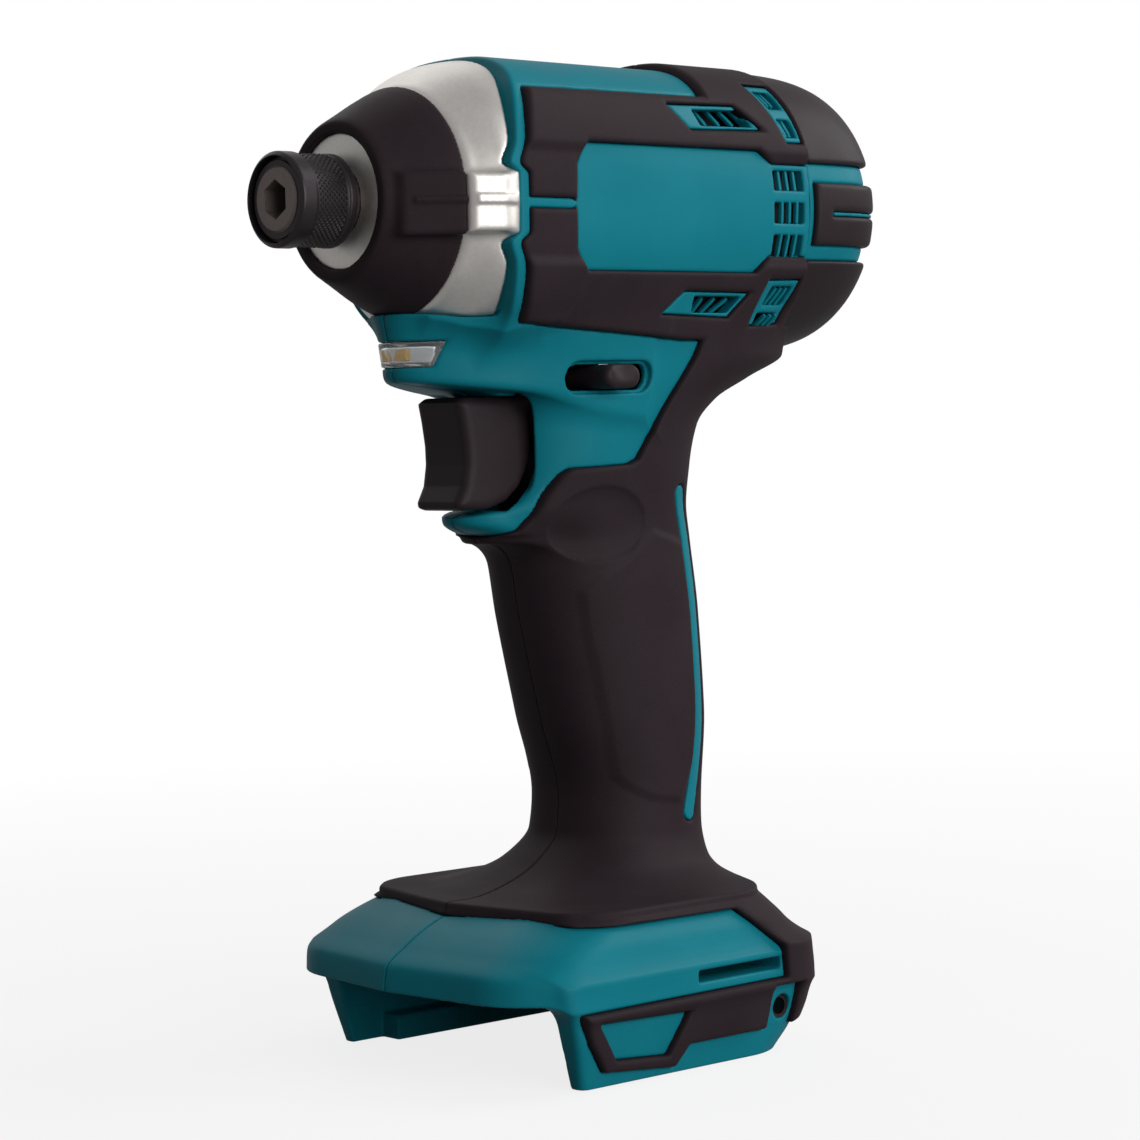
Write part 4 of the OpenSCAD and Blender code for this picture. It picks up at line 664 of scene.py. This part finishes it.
grip = {
    # thickness on the head over the height from the side band, and below the head
    "thick": [(0, 0.6), (9.2, 0.6), (11.6, 1.5), (40, 1.5)], "headFrom": 139, "handleThick": 1.5,
    "edge": 2.4, "round": 1.0,
    "panel": [(36, 183.6), (-18.6, 184.0), (-20.5, 191.5), (-20.5, 199), (-45, 199), (-45, 137), (-12, 137.2),
              (36, 141.2)],
    "handle": [(-52, 141), (-17.9, 139.4), (-15.9, 134.3), (-3.4, 114.5), (-1.1, 113.6), (11.6, 113.1), (13.2, 112.0),
               (16.0, 108.0), (17.8, 104.4), (20.0, 101.6), (23.6, 100.3), (28, 99.9), (36.8, 99.4), (45, 60),
               (45, 29.0), (-9.8, 28.6), (-18.5, 20.9), (-18.9, 14.0), (-52, 14.0)],
    "strip": [(33.0, 14.4), (30.4, 8.6), (26.6, 3.0), (8.8, 1.4), (5.6, 5.3), (-29.6, 5.2), (-47, 5.4), (-47, 15)],
    "badge": [(16.5, 173.7), (-28.5, 173.7), (-32, 171.2), (-45, 171.2), (-45, 153.3), (-31.5, 153.3), (-28, 150),
              (16.5, 150), (19, 154), (19.4, 162), (19, 169.5)],
    "upperWindow": [(-6.6, 182.0), (-25.4, 182.5), (-31.0, 177.6), (-10.8, 177.0)],
    "lowerWindow": [(-9.5, 146.5), (-27.8, 146.3), (-22.8, 141.4), (-4.0, 142.0)],
    "upperVent": [(-33.4, 187.4), (-40.9, 187.4), (-41.3, 175.4), (-36.6, 175.4)],
    "lowerVent": [(-32.2, 148.8), (-41.3, 149.0), (-38.4, 137.2), (-28.8, 137.6)],
    "inlay": [(34, 162.2), (20.5, 162.2)], "inlayHalf": 1.0,
    "badgePlate": [(28.9, 12.4), (24.0, 4.9), (10.9, 3.9), (6.2, 11.7)],
    "hookPlate": [(-15.5, 13.4), (-23.4, 13.4), (-22.0, 5.0), (-14.3, 5.0)],
    "backStripe": eased([(-16.9, 107.5), (-19.0, 99), (-20.8, 84), (-21.4, 66), (-20.0, 55), (-16.9, 45)]),
    "stripeHalf": 1.7, "stripeGap": 0.07, "stripeRise": 1.4, "frameRise": 0.9,
    # plate over the foot: X of its front edge, sweep over the width, heights from and to
    "plate": (33.2, 0.21, 20, 60),
    # raised palm panel on the side of the handle
    "palm": [(4.5, 92.7), (8.0, 89.5), (7.0, 82), (5.4, 76), (2.8, 65), (0.2, 53.3), (-1.5, 51.5), (-6.5, 48.8),
             (-14, 47.6), (-18.2, 55), (-19.4, 66), (-18.8, 84), (-16.6, 98), (-8, 100.5), (-1.5, 95.5)],
    "palmRise": 0.5, "palmEdge": 1.4,
    "dimple": (4.6, 102.4, 10.5, 7.2, 1.3),  # X, Z, half sizes and depth
}


windows = ("upperWindow", "lowerWindow", "upperVent", "lowerVent")


def gripMask(g):
    cut = lambda name: sideOutline(g, grip[name])
    m = meet(cut("panel"), g.x - (frontEdge(g) - grip["edge"]))
    m = meet(m, -sideLine(g, grip["inlay"], grip["inlayHalf"]))
    for name in ("badge",) + windows:
        m = meet(m, -cut(name))
    m = join(m, meet(cut("handle"), -sideLine(g, grip["backStripe"], grip["stripeHalf"])))
    m = join(m, meet(cut("strip"), -cut("badgePlate"), -cut("hookPlate")))
    edge, sweep, low, high = grip["plate"]
    plate = g.x - (edge - sweep * np.abs(g.y))
    return np.where((g.z > low) & (g.z < high), meet(m, plate), m)


def openingsOf(g, skin):
    y = np.abs(g.y)
    flare = y - control["flareHalf"] - 0.75 * np.maximum(g.x - control["bayFloor"], 0)
    pocket = softMax(softMax(sideOutline(g, control["bay"]), flare, 3.0), 4.0 - g.x, 0.5)
    slot = sideLine(g, control["slot"], control["slotHalf"])
    low, high, back = lamp["opening"]
    cuts = {
        "bay": meet(join(pocket, boxField(g, *control["well"])), -boxField(g, *control["rib"])),
        "slot": join(slot, meet(slot - control["slotStep"], -control["slotSkin"] - skin)),
        "battery": boxField(g, *battery["room"]),
        "mouth": join(boxField(g, *battery["betweenLips"]), boxField(g, *battery["mouth"])),
        "lamp": meet(low - g.z, g.z - high, lampEnd(g, back)),
        "groove": meet(sideOutline(g, battery["groove"]), battery["grooveFrom"] - y),
        "hook": meet(sideLine(g, battery["hook"], battery["hookRadius"]), battery["hookFrom"] - y),
        "terminals": boxField(g, *battery["terminals"]),
    }
    for i, vent in enumerate(vents["openings"]):
        cuts["vent%d" % i] = meet(sideOutline(g, vent[0]), vent[1] - vents["deep"] - y)
    return cuts


control = {
    # trigger outline in X and Z, its half widths over X, and the bay it moves in
    "trigger": [(13.9, 127.1), (30.0, 127.1), (31.6, 126.2), (30.8, 122.5), (30.1, 118), (30.0, 114.5), (30.7, 110.5),
                (32.4, 107.4), (32.2, 106.2), (31, 105.8), (25, 105.8), (20.6, 107.2), (17.4, 109.8), (15.4, 113),
                (13.9, 116)],
    "triggerHalf": [(13, 7.4), (22, 7.4), (33, 6.9)],
    "stem": (118.9, 2.5, 6.6, 20),  # height, radius, X from and to
    "bay": [(13.9, 127.7), (26, 127.8), (42, 129.8), (60, 129.8), (60, 103.6), (27.6, 104.6), (23.6, 105.4),
            (19.4, 107.2), (16.4, 109.8), (14.4, 113.2), (13.9, 116.5)],
    "bayFloor": 13.9, "flareHalf": 8.3, "well": ((-0.9, -7.9, 105.4), (30, 7.9, 127.7)),
    "rib": ((-0.9, -7.9, 127.2), (27.0, 7.9, 150.0)),  # over the trigger, closes the view across the tool
    # lever slot, wider in the outer skin
    "slot": [(-2.0, 130.3), (12.0, 130.3)], "slotHalf": 2.45, "slotStep": 0.6, "slotSkin": 1.2,
}
battery = {  # openings of the foot: boxes by two corners, outlines in X and Z, half widths they start from
    "room": ((-26.4, -32.6, 5), (60, 32.6, 16.0)),
    "betweenLips": ((-26.4, -27.6, -9), (60, 27.6, 7)),
    "mouth": ((23.5, -32.6, -9), (60, 32.6, 7)),
    "terminals": ((-24.5, -15.05, 15), (-5.4, 15.05, 20)),
    "groove": [(3.5, 16.6), (-18, 16.6), (-18, 18.8), (3.5, 18.8)], "grooveFrom": 24,
    "hook": [(-19.2, 8.9), (-19.21, 8.9)], "hookRadius": 2.35, "hookFrom": 33.3,
}
lamp = {
    "low": 132.95, "high": 137.55, "back": 38.55, "slant": 0.34, "slantFrom": 132, "wall": 1.1, "proud": 0.15,
    "opening": (132.8, 137.7, 38.4), "middle": 135.25, "roomHalf": 1.7,  # opening: Z from and to, X of its back
    # reflector: depths under the skin, half height, half width, X it starts from
    "cup": (1.3, 2.2, 1.6, 7.6, 37.2),
    "chips": (-1.9, 1.9), "chip": (39.9, 41.45, 1.6, 134.1, 136.4),  # X from and to, half width, Z from and to
}


def lampEnd(g, back):
    # the lens ends in a slanted edge on each side
    return back - (g.z - lamp["slantFrom"]) * lamp["slant"] - g.x


vents = {
    # outline in X and Z, half width of the skin there, number of slats and rise over the skin
    "openings": [
        ([(-32.2, 169.9), (-40.4, 170.0), (-40.4, 166.1), (-32.2, 166.1)], 26.8, 3, 0.0),
        ([(-32.2, 163.7), (-40.4, 163.7), (-40.4, 159.7), (-32.2, 159.7)], 27.5, 3, 0.0),
        ([(-32.2, 157.4), (-40.4, 157.4), (-40.4, 153.5), (-32.2, 153.5)], 26.6, 3, 0.0),
        ([(-13.4, 181.1), (-26.8, 181.5), (-28.6, 178.3), (-14.2, 178.0)], 21.6, 3, 0.9),
        ([(-12.6, 145.5), (-25.8, 145.5), (-22.6, 142.4), (-12.8, 142.4)], 21.4, 3, 0.9),
        ([(-35.2, 186.0), (-39.8, 186.0), (-40.2, 182.4), (-36.0, 182.4)], 18.0, 3, 0.9),
        ([(-36.5, 180.2), (-40.2, 180.2), (-40.4, 176.6), (-37.2, 176.6)], 23.0, 2, 0.9),
        ([(-34.0, 147.5), (-39.8, 147.6), (-38.8, 144.1), (-32.8, 144.0)], 22.0, 3, 0.9),
        ([(-32.0, 142.4), (-38.0, 142.5), (-37.0, 138.9), (-30.6, 138.8)], 20.6, 3, 0.9),
    ],
    "deep": 6, "slat": (0.72, 0.9),  # depth of the openings, thickness and depth of a slat
}


def buildShell():
    g = Grid(shell["low"], shell["high"], shell["cell"])
    skin = bodyForm(g)
    print("  body form ready", g.shape)
    mask = gripMask(g)
    inner = meet(skin + shell["wall"], shell["hollowFloor"] - g.z)
    bore = meet(axisRadius(g) - shell["bore"], g.x - shell["boreEnd"])
    caseRoom = meet(caseForm(g) - 0.25, frontEdge(g) - 0.1 - g.x, nose["floor"] - 0.05 - g.z)
    house = meet(skin, -join(inner, bore), -caseRoom)
    sink = -shell["gripSink"] - skin
    frames = join(*[sideOutline(g, grip[name]) for name in windows])
    raised = softMax(skin - grip["frameRise"], frames + 0.12, 0.4)
    house = join(house, meet(raised, sink, shell["seamX"] - g.x))
    openings = openingsOf(g, skin)
    for cut in openings.values():
        house = softMax(house, -cut, 0.5)
    house = softMax(house, -meet(mask - shell["gripGap"], sink), 0.35)
    stripe = sideLine(g, grip["backStripe"], grip["stripeHalf"] - grip["stripeGap"])
    house = join(house, softMax(meet(skin - grip["stripeRise"], sink), stripe, 0.3))
    thick = along(np.abs(g.z - bandZ), grip["thick"])
    thick = np.where(g.z > grip["headFrom"], thick, grip["handleThick"]).astype(np.float32)
    dx, dz, ax, az, deep = grip["dimple"]
    dent = np.clip(1 - ((g.x - dx) / ax) ** 2 - ((g.z - dz) / az) ** 2, 0, 1)
    palm = grip["palmRise"] * np.clip(0.5 - sideOutline(g, grip["palm"]) / grip["palmEdge"], 0, 1)
    soft = softMax(skin - thick - palm + deep * np.sqrt(dent), mask, grip["round"])
    tail = shell["seamX"] - g.x - np.where(g.z > 140, 0, 20)  # only the head ends at the rear cover
    soft = meet(soft, sink + 0.05, -0.2 - g.z, tail)
    for name in ("bay", "slot", "battery", "mouth", "groove", "hook"):
        soft = softMax(soft, -openings[name], 0.5)
    return g, skin, house, softMax(soft, 0.05 - g.y, 0.25)


def seamed(g, skin, field, lap):
    # the inner half of the wall laps over the seam, so no light passes between the halves
    return softMax(field, np.where(skin < -1.3, lap, 0.05) - g.y, 0.4)


teal = ("tool", "tealPlastic", "housing_plastic")
rubber = ("tool", "charcoalRubber", "grip_elastomer")
g, skin, house, soft = buildShell()
put(fieldPiece("housingLeft", seamed(g, skin, house, -0.6), g), *teal, "housing_left")
put(fieldPiece("gripLeft", soft, g), *rubber, "grip_left")
for sx, sz in shell["screws"]:
    hole = np.sqrt((g.x - sx) ** 2 + (g.z - sz) ** 2) - shell["screwHole"]
    hole = meet(hole, shell["screwFrom"] - g.y)
    house, soft = softMax(house, -hole, 0.5), softMax(soft, -hole, 0.5)
put(fieldPiece("housingRight", seamed(g, skin, house, 0.7), g, -1), *teal, "housing_right")
put(fieldPiece("gripRight", soft, g, -1), *rubber, "grip_right")
del skin, house, soft
print("shell done")


def turnedForm(g, rows):
    # distance to a solid of revolution about the bit axis, rows of X and radius
    return outline(g.x, axisRadius(g), rows)


# motor end cover: teal cup with black pads moulded over it
rear = {
    "low": (-70.2, -30.6, 133.0), "high": (-40.8, 30.6, 194.0),
    "cup": [(-41.9, 27.4), (-50, 27.1), (-56, 26.4), (-60, 25.0), (-63, 22.6), (-65.4, 18.8), (-66.6, 14), (-67.0, 0)],
    "pads": [(-41.9, 28.5), (-50, 28.3), (-56, 27.7), (-60.6, 26.4), (-63.8, 23.9), (-66.3, 19.8), (-67.6, 14.5),
             (-68.1, 10), (-68.2, 0)],
    "wall": 2.2, "end": -66, "sink": 0.7, "round": 1.1, "middle": 10.5,
    "upper": 171.7, "lower": 152.7, "centre": (155.6, 167.9), "centreFront": -43.4, "centreFrom": 9.0,
    "line": (161.8, 0.42, -48),  # teal line in the middle pad: height, half height, X of its front end
    "screwAt": 18.0, "screwHole": 3.0, "screwX": -62.3,
}


def buildRear():
    g = Grid(rear["low"], rear["high"], shell["cell"])
    y, z, r = np.abs(g.y), g.z, axisRadius(g)
    cup, over = [turnedForm(g, [(-30, 0), (-30, rear[key][0][1])] + eased(rear[key])) for key in ("cup", "pads")]
    rim = g.x - shell["seamX"] + 0.12
    low, high = rear["centre"]
    centre = meet(low - z, z - high, g.x - rear["centreFront"], rear["centreFrom"] - y)
    height, half, end = rear["line"]
    line = meet(np.abs(z - height) - half, g.x - end)
    mask = join(join(rear["upper"] - z, z - rear["lower"]), meet(centre, -line))
    mask = meet(mask, rear["middle"] - r)
    bed = meet(mask - shell["gripGap"], -(cup + rear["sink"]))
    hollow = meet(cup + rear["wall"], rear["end"] - g.x)
    cover = softMax(meet(cup, rim, -hollow), -bed, 0.35)
    cover = join(cover, meet(line + 0.08, over + 0.35, -1.0 - cup, rear["middle"] - r))
    pads = softMax(meet(over, rim), mask, rear["round"])
    pads = meet(pads, -(cup + rear["sink"] - 0.05))
    reach = rear["screwAt"] / math.sqrt(2)
    for s in (reach, -reach):
        hole = np.sqrt((g.y - s) ** 2 + (g.z - axisZ - s) ** 2) - rear["screwHole"]
        cover, pads = meet(cover, -hole), softMax(pads, -hole, 0.6)
    return g, cover, pads


g, cup, pads = buildRear()
put(fieldPiece("rearCover", cup, g), *teal, "rear_cover")
put(fieldPiece("rearPads", pads, g), "tool", "blackPlastic", "black_plastic")
print("rear cover done")

# cast hammer case and its rubber bumper
front = {
    "low": (-4.6, -29.2, 134.8), "high": (55.2, 29.2, 192.2),
    "skirt": (24.8, -2.75, 33), "cavity": (22.2, 36.3),  # radius, then X of the ends
    "bore": (8.6, 6.5, 52.6), "noseEnd": 53.4,  # radius, radius at the end, X where it changes
    # block on each side with a rib: X from and to, half height, half width; taper from X by a share
    "block": (33.05, 42.2, 5.4, 27.3), "rib": (33.6, 41.4, 0.7, 27.8), "ribUp": 0.6, "taper": (36.5, 0.36),
    "from": 14.0,
    "bumper": [(54.4, 14.4), (54.1, 14.8), (53.4, 15.3), (50, 17.1), (46, 19.3), (43, 20.8), (41.3, 21.5),
               (40.6, 21.4), (40.6, 0), (54.4, 0)],
    "bumperBore": 12.56, "pad": (41.3, 52.3, 5.8), "padFrom": 12.0,
    "padFace": (24.2, 41.5, 0.66),  # half width at X, and its slope
}


def buildFront():
    g = Grid(front["low"], front["high"], shell["cell"])
    y, r = np.abs(g.y), axisRadius(g)
    up, ribUp = np.abs(g.z - bandZ), np.abs(g.z - bandZ - front["ribUp"])
    skin = caseForm(g)
    case = softMax(skin, meet(frontEdge(g) + 0.12 - g.x, nose["floor"] - g.z), 0.9)
    case = meet(case, g.x - front["noseEnd"])
    start, slope = front["taper"]
    taper = np.maximum(g.x - start, 0) * slope
    x0, x1, half, out = front["block"]
    block = softMax(meet(up - half, x0 - g.x, g.x - x1), y - out + taper, 1.4)
    block = meet(block, front["from"] - y)
    x0, x1, half, out = front["rib"]
    rib = meet(ribUp - half, x0 - g.x, g.x - x1, y - out + taper, front["from"] - y)
    case = softMin(softMin(case, block, 1.6), rib, 0.8)
    radius, x0, x1 = front["skirt"]
    case = join(case, meet(r - radius, x0 - g.x, g.x - x1))
    radius, x1 = front["cavity"]
    wide, narrow, step = front["bore"]
    room = join(meet(r - radius, g.x - x1), r - np.where(g.x > step, narrow, wide))
    case = meet(case, -room)
    x0, x1, half = front["pad"]
    out, at, slope = front["padFace"]
    side = (y - out + (g.x - at) * slope) * 0.83
    pad = softMax(softMax(up - half, side, 1.2), meet(x0 - g.x, g.x - x1), 1.0)
    ridge = meet(ribUp - 0.5, side - 0.35, x0 + 0.4 - g.x, g.x - x1 + 2.0)
    pad = meet(softMin(pad, ridge, 0.5), front["padFrom"] - y)
    bumper = softMin(turnedForm(g, front["bumper"]), pad, 1.0)
    hole = join(join(skin, block) - 0.06, r - front["bumperBore"])
    return g, case, softMax(bumper, -hole, 0.2)


g, case, bumper = buildFront()
put(fieldPiece("hammerCase", case, g), "tool", "castAluminium", "cast_aluminium", "hammer_case")
put(fieldPiece("noseBumper", bumper, g), *rubber, "nose_bumper")
print("nose done")


# trigger, reversing lever and work light
def buildTrigger():
    g = Grid((4.0, -10.5, 103.5), (35.6, 10.5, 129.0), 0.3)
    half = along(g.x, control["triggerHalf"])
    f = softMax(sideOutline(g, control["trigger"]), np.abs(g.y) - half, 2.2)
    z, r, back, ahead = control["stem"]
    return g, join(f, meet(np.sqrt(g.y ** 2 + (g.z - z) ** 2) - r, back - g.x, g.x - ahead))


lever = {
    "pivot": -13.125, "pinAt": 5.175, "low": 128.1, "high": 132.7, "half": 4.5, "reach": 23.9, "arm": 2.5, "hub": 4.0,
    "hole": 1.8, "scoop": (2.2, 4.2, 5.0),  # hollow in each end: above the middle, past the end, radius
}


def buildLever():
    g = Grid((-18.0, -25.0, 127.2), (10.6, 25.0, 133.6), 0.3)
    y, at, low, high = np.abs(g.y), lever["pinAt"], lever["low"], lever["high"]
    mid, r = (low + high) / 2, (high - low) / 2
    pin = sideLine(g, [(at - lever["half"] + r, mid), (at + lever["half"] - r, mid)], r)
    up, past, radius = lever["scoop"]
    scoop = np.sqrt((g.x - at) ** 2 + (g.z - mid - up) ** 2 + (y - lever["reach"] - past) ** 2) - radius
    f = softMax(softMax(pin, y - lever["reach"], 1.6), -scoop, 0.6)
    arm = meet(y - lever["arm"], lever["pivot"] - g.x, g.x - at)
    hub = np.sqrt((g.x - lever["pivot"]) ** 2 + g.y ** 2)
    f = join(f, meet(join(arm, hub - lever["hub"]), low - g.z, g.z - high))
    return g, meet(f, lever["hole"] - hub)


def buildLamp():
    g = Grid((33.0, -13.0, 131.0), (46.0, 13.0, 139.2), 0.25)
    skin, up = bodyForm(g), np.abs(g.z - lamp["middle"])
    lens = softMax(skin - lamp["proud"], meet(lamp["low"] - g.z, g.z - lamp["high"]), 0.5)
    lens = meet(lens, lampEnd(g, lamp["back"]), -meet(skin + lamp["wall"], up - lamp["roomHalf"]))
    top, deep, tall, half, back = lamp["cup"]
    cup = meet(skin + top, -(skin + deep), up - tall, np.abs(g.y) - half, back - g.x)
    back, ahead, half, low, high = lamp["chip"]
    chips = [boxField(g, (back, c - half, low), (ahead, c + half, high)) for c in lamp["chips"]]
    return g, lens, cup, join(*chips)


g, field = buildTrigger()
put(fieldPiece("triggerBlade", field, g), "trigger", "blackPlastic", "black_plastic", "trigger")
g, field = buildLever()
put(fieldPiece("leverPin", field, g), "reverse_lever", "blackPlastic", "black_plastic", "reverse_lever")
g, lens, cup, chips = buildLamp()
put(fieldPiece("lampLens", lens, g), "tool", "clearLens", "clear_plastic", "led_lens")
put(fieldPiece("lampCup", cup, g), "tool", "lampSilver", "clear_plastic")
put(fieldPiece("lampChips", chips, g), "tool", "lampAmber", "clear_plastic")
print("controls done")

# quick-change sleeve
sleeve = {
    "profile": [(68.35, 7.9), (68.35, 7.95), (67.7, 8.75), (67.4, 8.8), (64.7, 8.8), (64.45, 8.4), (57.3, 8.3),
                (57.0, 8.65), (55.6, 8.65), (55.4, 8.4), (55.4, 7.0), (58.2, 7.0), (58.4, 6.45), (59.8, 6.45),
                (60.0, 7.9)],
    "knurl": (57.9, 64.0), "knurlRadius": 8.32, "knurlPitch": 1.05, "knurlHeight": 0.26,
}
g = Grid((54.6, -9.6, axisZ - 9.6), (69.2, 9.6, axisZ + 9.6), 0.2)
field = turnedForm(g, sleeve["profile"])
put(fieldPiece("bitSleeve", field, g), "bit_sleeve", "blackOxide", "black_steel", "bit_sleeve")
print("sleeve done")


# Geometry Nodes: one seed mesh stood on points that carry their own turn and size
def standTree():
    tree = bpy.data.node_groups.new("standOnSpots", "GeometryNodeTree")
    for label, way, kind in (("Geometry", "INPUT", "Geometry"), ("Seed", "INPUT", "Object"),
                             ("Finish", "INPUT", "Material"), ("Geometry", "OUTPUT", "Geometry")):
        tree.interface.new_socket(label, in_out=way, socket_type="NodeSocket" + kind)
    make, link = tree.nodes.new, tree.links.new
    start, end = make("NodeGroupInput"), make("NodeGroupOutput")
    info, stand = make("GeometryNodeObjectInfo"), make("GeometryNodeInstanceOnPoints")
    real, dress = make("GeometryNodeRealizeInstances"), make("GeometryNodeSetMaterial")
    for key, socket in (("turn", "Rotation"), ("size", "Scale")):
        stored = make("GeometryNodeInputNamedAttribute")
        stored.data_type = "FLOAT_VECTOR"
        stored.inputs["Name"].default_value = key
        link(stored.outputs["Attribute"], stand.inputs[socket])
    link(start.outputs["Geometry"], stand.inputs["Points"])
    link(start.outputs["Seed"], info.inputs["Object"])
    link(info.outputs["Geometry"], stand.inputs["Instance"])
    link(stand.outputs["Instances"], real.inputs["Geometry"])
    link(real.outputs["Geometry"], dress.inputs["Geometry"])
    link(start.outputs["Finish"], dress.inputs["Material"])
    link(dress.outputs["Geometry"], end.inputs["Geometry"])
    return tree


def standOn(name, tree, seed, spots, look):
    # spots: place in mm, turn in radians, size factors
    mesh = bpy.data.meshes.new(name)
    mesh.vertices.add(len(spots))
    mesh.vertices.foreach_set("co", (np.array([s[0] for s in spots], np.float32) * mm).ravel())
    mesh.update()
    for key, column in (("turn", 1), ("size", 2)):
        layer = mesh.attributes.new(key, "FLOAT_VECTOR", "POINT")
        layer.data.foreach_set("vector", np.array([s[column] for s in spots], np.float32).ravel())
    piece = bpy.data.objects.new(name, mesh)
    scene.collection.objects.link(piece)
    grow = piece.modifiers.new("stand", "NODES")
    grow.node_group = tree
    ids = {item.name: item.identifier for item in tree.interface.items_tree if item.in_out == "INPUT"}
    grow[ids["Seed"]], grow[ids["Finish"]] = seed, finish[look]
    bpy.context.view_layer.update()
    made = bpy.data.meshes.new_from_object(piece.evaluated_get(bpy.context.evaluated_depsgraph_get()))
    piece.modifiers.clear()
    piece.data = made
    made.polygons.foreach_set("use_smooth", np.zeros(len(made.polygons), bool))
    for layer in [a for a in made.attributes if a.name in ("turn", "size")]:
        made.attributes.remove(layer)
    print("  ", name, len(made.vertices), "points")
    return piece


def seedObject(name, build):
    form = bmesh.new()
    build(form)
    bmesh.ops.recalc_face_normals(form, faces=form.faces)
    mesh = bpy.data.meshes.new(name)
    form.to_mesh(mesh)
    form.free()
    return bpy.data.objects.new(name, mesh)


def slatSeed(form):
    # unit slat with soft edges: thickness on X, depth on Y, height on Z
    bmesh.ops.create_cube(form, size=mm)
    bmesh.ops.bevel(form, geom=form.edges[:], offset=0.12 * mm, segments=2, affect="EDGES")


def knurlSeed(form):
    # one low diamond point, standing on +Z
    corners = ((0.5, 0), (0, 0.5), (-0.5, 0), (0, -0.5))
    base = [form.verts.new((x * mm, y * mm, -0.3 * mm)) for x, y in corners]
    top = [form.verts.new((v.co.x * 0.3, v.co.y * 0.3, mm)) for v in base]
    form.faces.new(top)
    for i in range(4):
        form.faces.new((base[i], base[(i + 1) % 4], top[(i + 1) % 4], top[i]))
    form.faces.new(base[::-1])


screw = {
    "profile": [(1.5, 0.0), (2.75, 0.0), (2.75, -1.5), (2.4, -2.0), (1.9, -2.2)], "shaft": 1.5, "sides": 24,
    "length": 18.4, "rearLength": 5.4,
    "cross": (0.45, 1.05, -2.2, -0.8),  # least radius, reach of the arms, heights of the rim and the floor
}


def screwSeed(form, length):
    # pan head with a cross recess, shaft along +Z from the seat of the head
    angles = [math.tau * k / screw["sides"] for k in range(screw["sides"])]
    least, reach, rim, deep = screw["cross"]

    def ring(radii, z):
        return [form.verts.new((r * mm * math.cos(a), r * mm * math.sin(a), z * mm)) for r, a in zip(radii, angles)]

    rings = [ring([r] * len(angles), z) for r, z in [(screw["shaft"], length)] + screw["profile"]]
    cross = [least + reach * abs(math.cos(2 * a)) ** 3 for a in angles]
    rings += [ring(cross, rim), ring([0.8 * r for r in cross], deep)]
    for low, high in zip(rings[:-1], rings[1:]):
        for k in range(len(angles)):
            form.faces.new((low[k - 1], low[k], high[k], high[k - 1]))
    form.faces.new(rings[0][::-1])
    form.faces.new(rings[-1])


def slatSpots():
    thick, deep = vents["slat"]
    spots = []
    for corners, half, count, rise in vents["openings"]:
        (ax, az), (bx, bz), (cx, cz), (dx, dz) = corners
        for i in range(count):
            t = (i + 1) / (count + 1)
            top, low = (ax + (bx - ax) * t, az + (bz - az) * t), (dx + (cx - dx) * t, dz + (cz - dz) * t)
            midX, midZ = (top[0] + low[0]) / 2, (top[1] + low[1]) / 2
            tall = math.hypot(top[0] - low[0], top[1] - low[1]) + 1.0
            out = math.atan2(midZ - axisZ, half)
            tilt = math.atan2(low[0] - top[0], top[1] - low[1])
            for side in (1, -1):
                place = (midX, side * (half + (rise - 0.6) * math.cos(out)), midZ + (rise - 0.6) * math.sin(out))
                spots.append((place, (side * out, -tilt, 0), (thick, deep, tall)))
    return spots


def knurlSpots():
    low, high = sleeve["knurl"]
    pitch, r = sleeve["knurlPitch"], sleeve["knurlRadius"]
    around = int(round(2 * math.pi * r / pitch))
    spots = []
    for row in range(int((high - low) / (pitch / 2)) + 1):
        for k in range(around):
            a = 2 * math.pi * (k + 0.5 * (row % 2)) / around
            place = (low + row * pitch / 2, r * math.cos(a), axisZ + r * math.sin(a))
            spots.append((place, (a - math.pi / 2, 0, 0), (pitch, pitch, sleeve["knurlHeight"])))
    return spots


def screwSpots():
    seat = -shell["screwFrom"]
    return [((x, seat, z), (-math.pi / 2, 0.4 * i, 0), (1, 1, 1)) for i, (x, z) in enumerate(shell["screws"])]


def rearScrewSpots():
    reach = rear["screwAt"] / math.sqrt(2)
    return [((rear["screwX"], s, axisZ + s), (0, math.pi / 2, 0), (1, 1, 1)) for s in (reach, -reach)]


stand = standTree()
slats = standOn("ventSlats", stand, seedObject("slatSeed", slatSeed), slatSpots(), "tealPlastic")
put(slats, *teal)
knurl = standOn("sleeveKnurl", stand, seedObject("knurlSeed", knurlSeed), knurlSpots(), "blackOxide")
put(knurl, "bit_sleeve", "blackOxide", "black_steel")
seed = seedObject("screwSeed", lambda form: screwSeed(form, screw["length"]))
screws = standOn("housingScrews", stand, seed, screwSpots(), "blackOxide")
put(screws, "tool", "blackOxide", "black_steel", "housing_screws")
seed = seedObject("rearScrewSeed", lambda form: screwSeed(form, screw["rearLength"]))
screws = standOn("rearCoverScrews", stand, seed, rearScrewSpots(), "blackOxide")
put(screws, "tool", "blackOxide", "black_steel", "rear_cover_screws")
print("repeats done")

print("done")
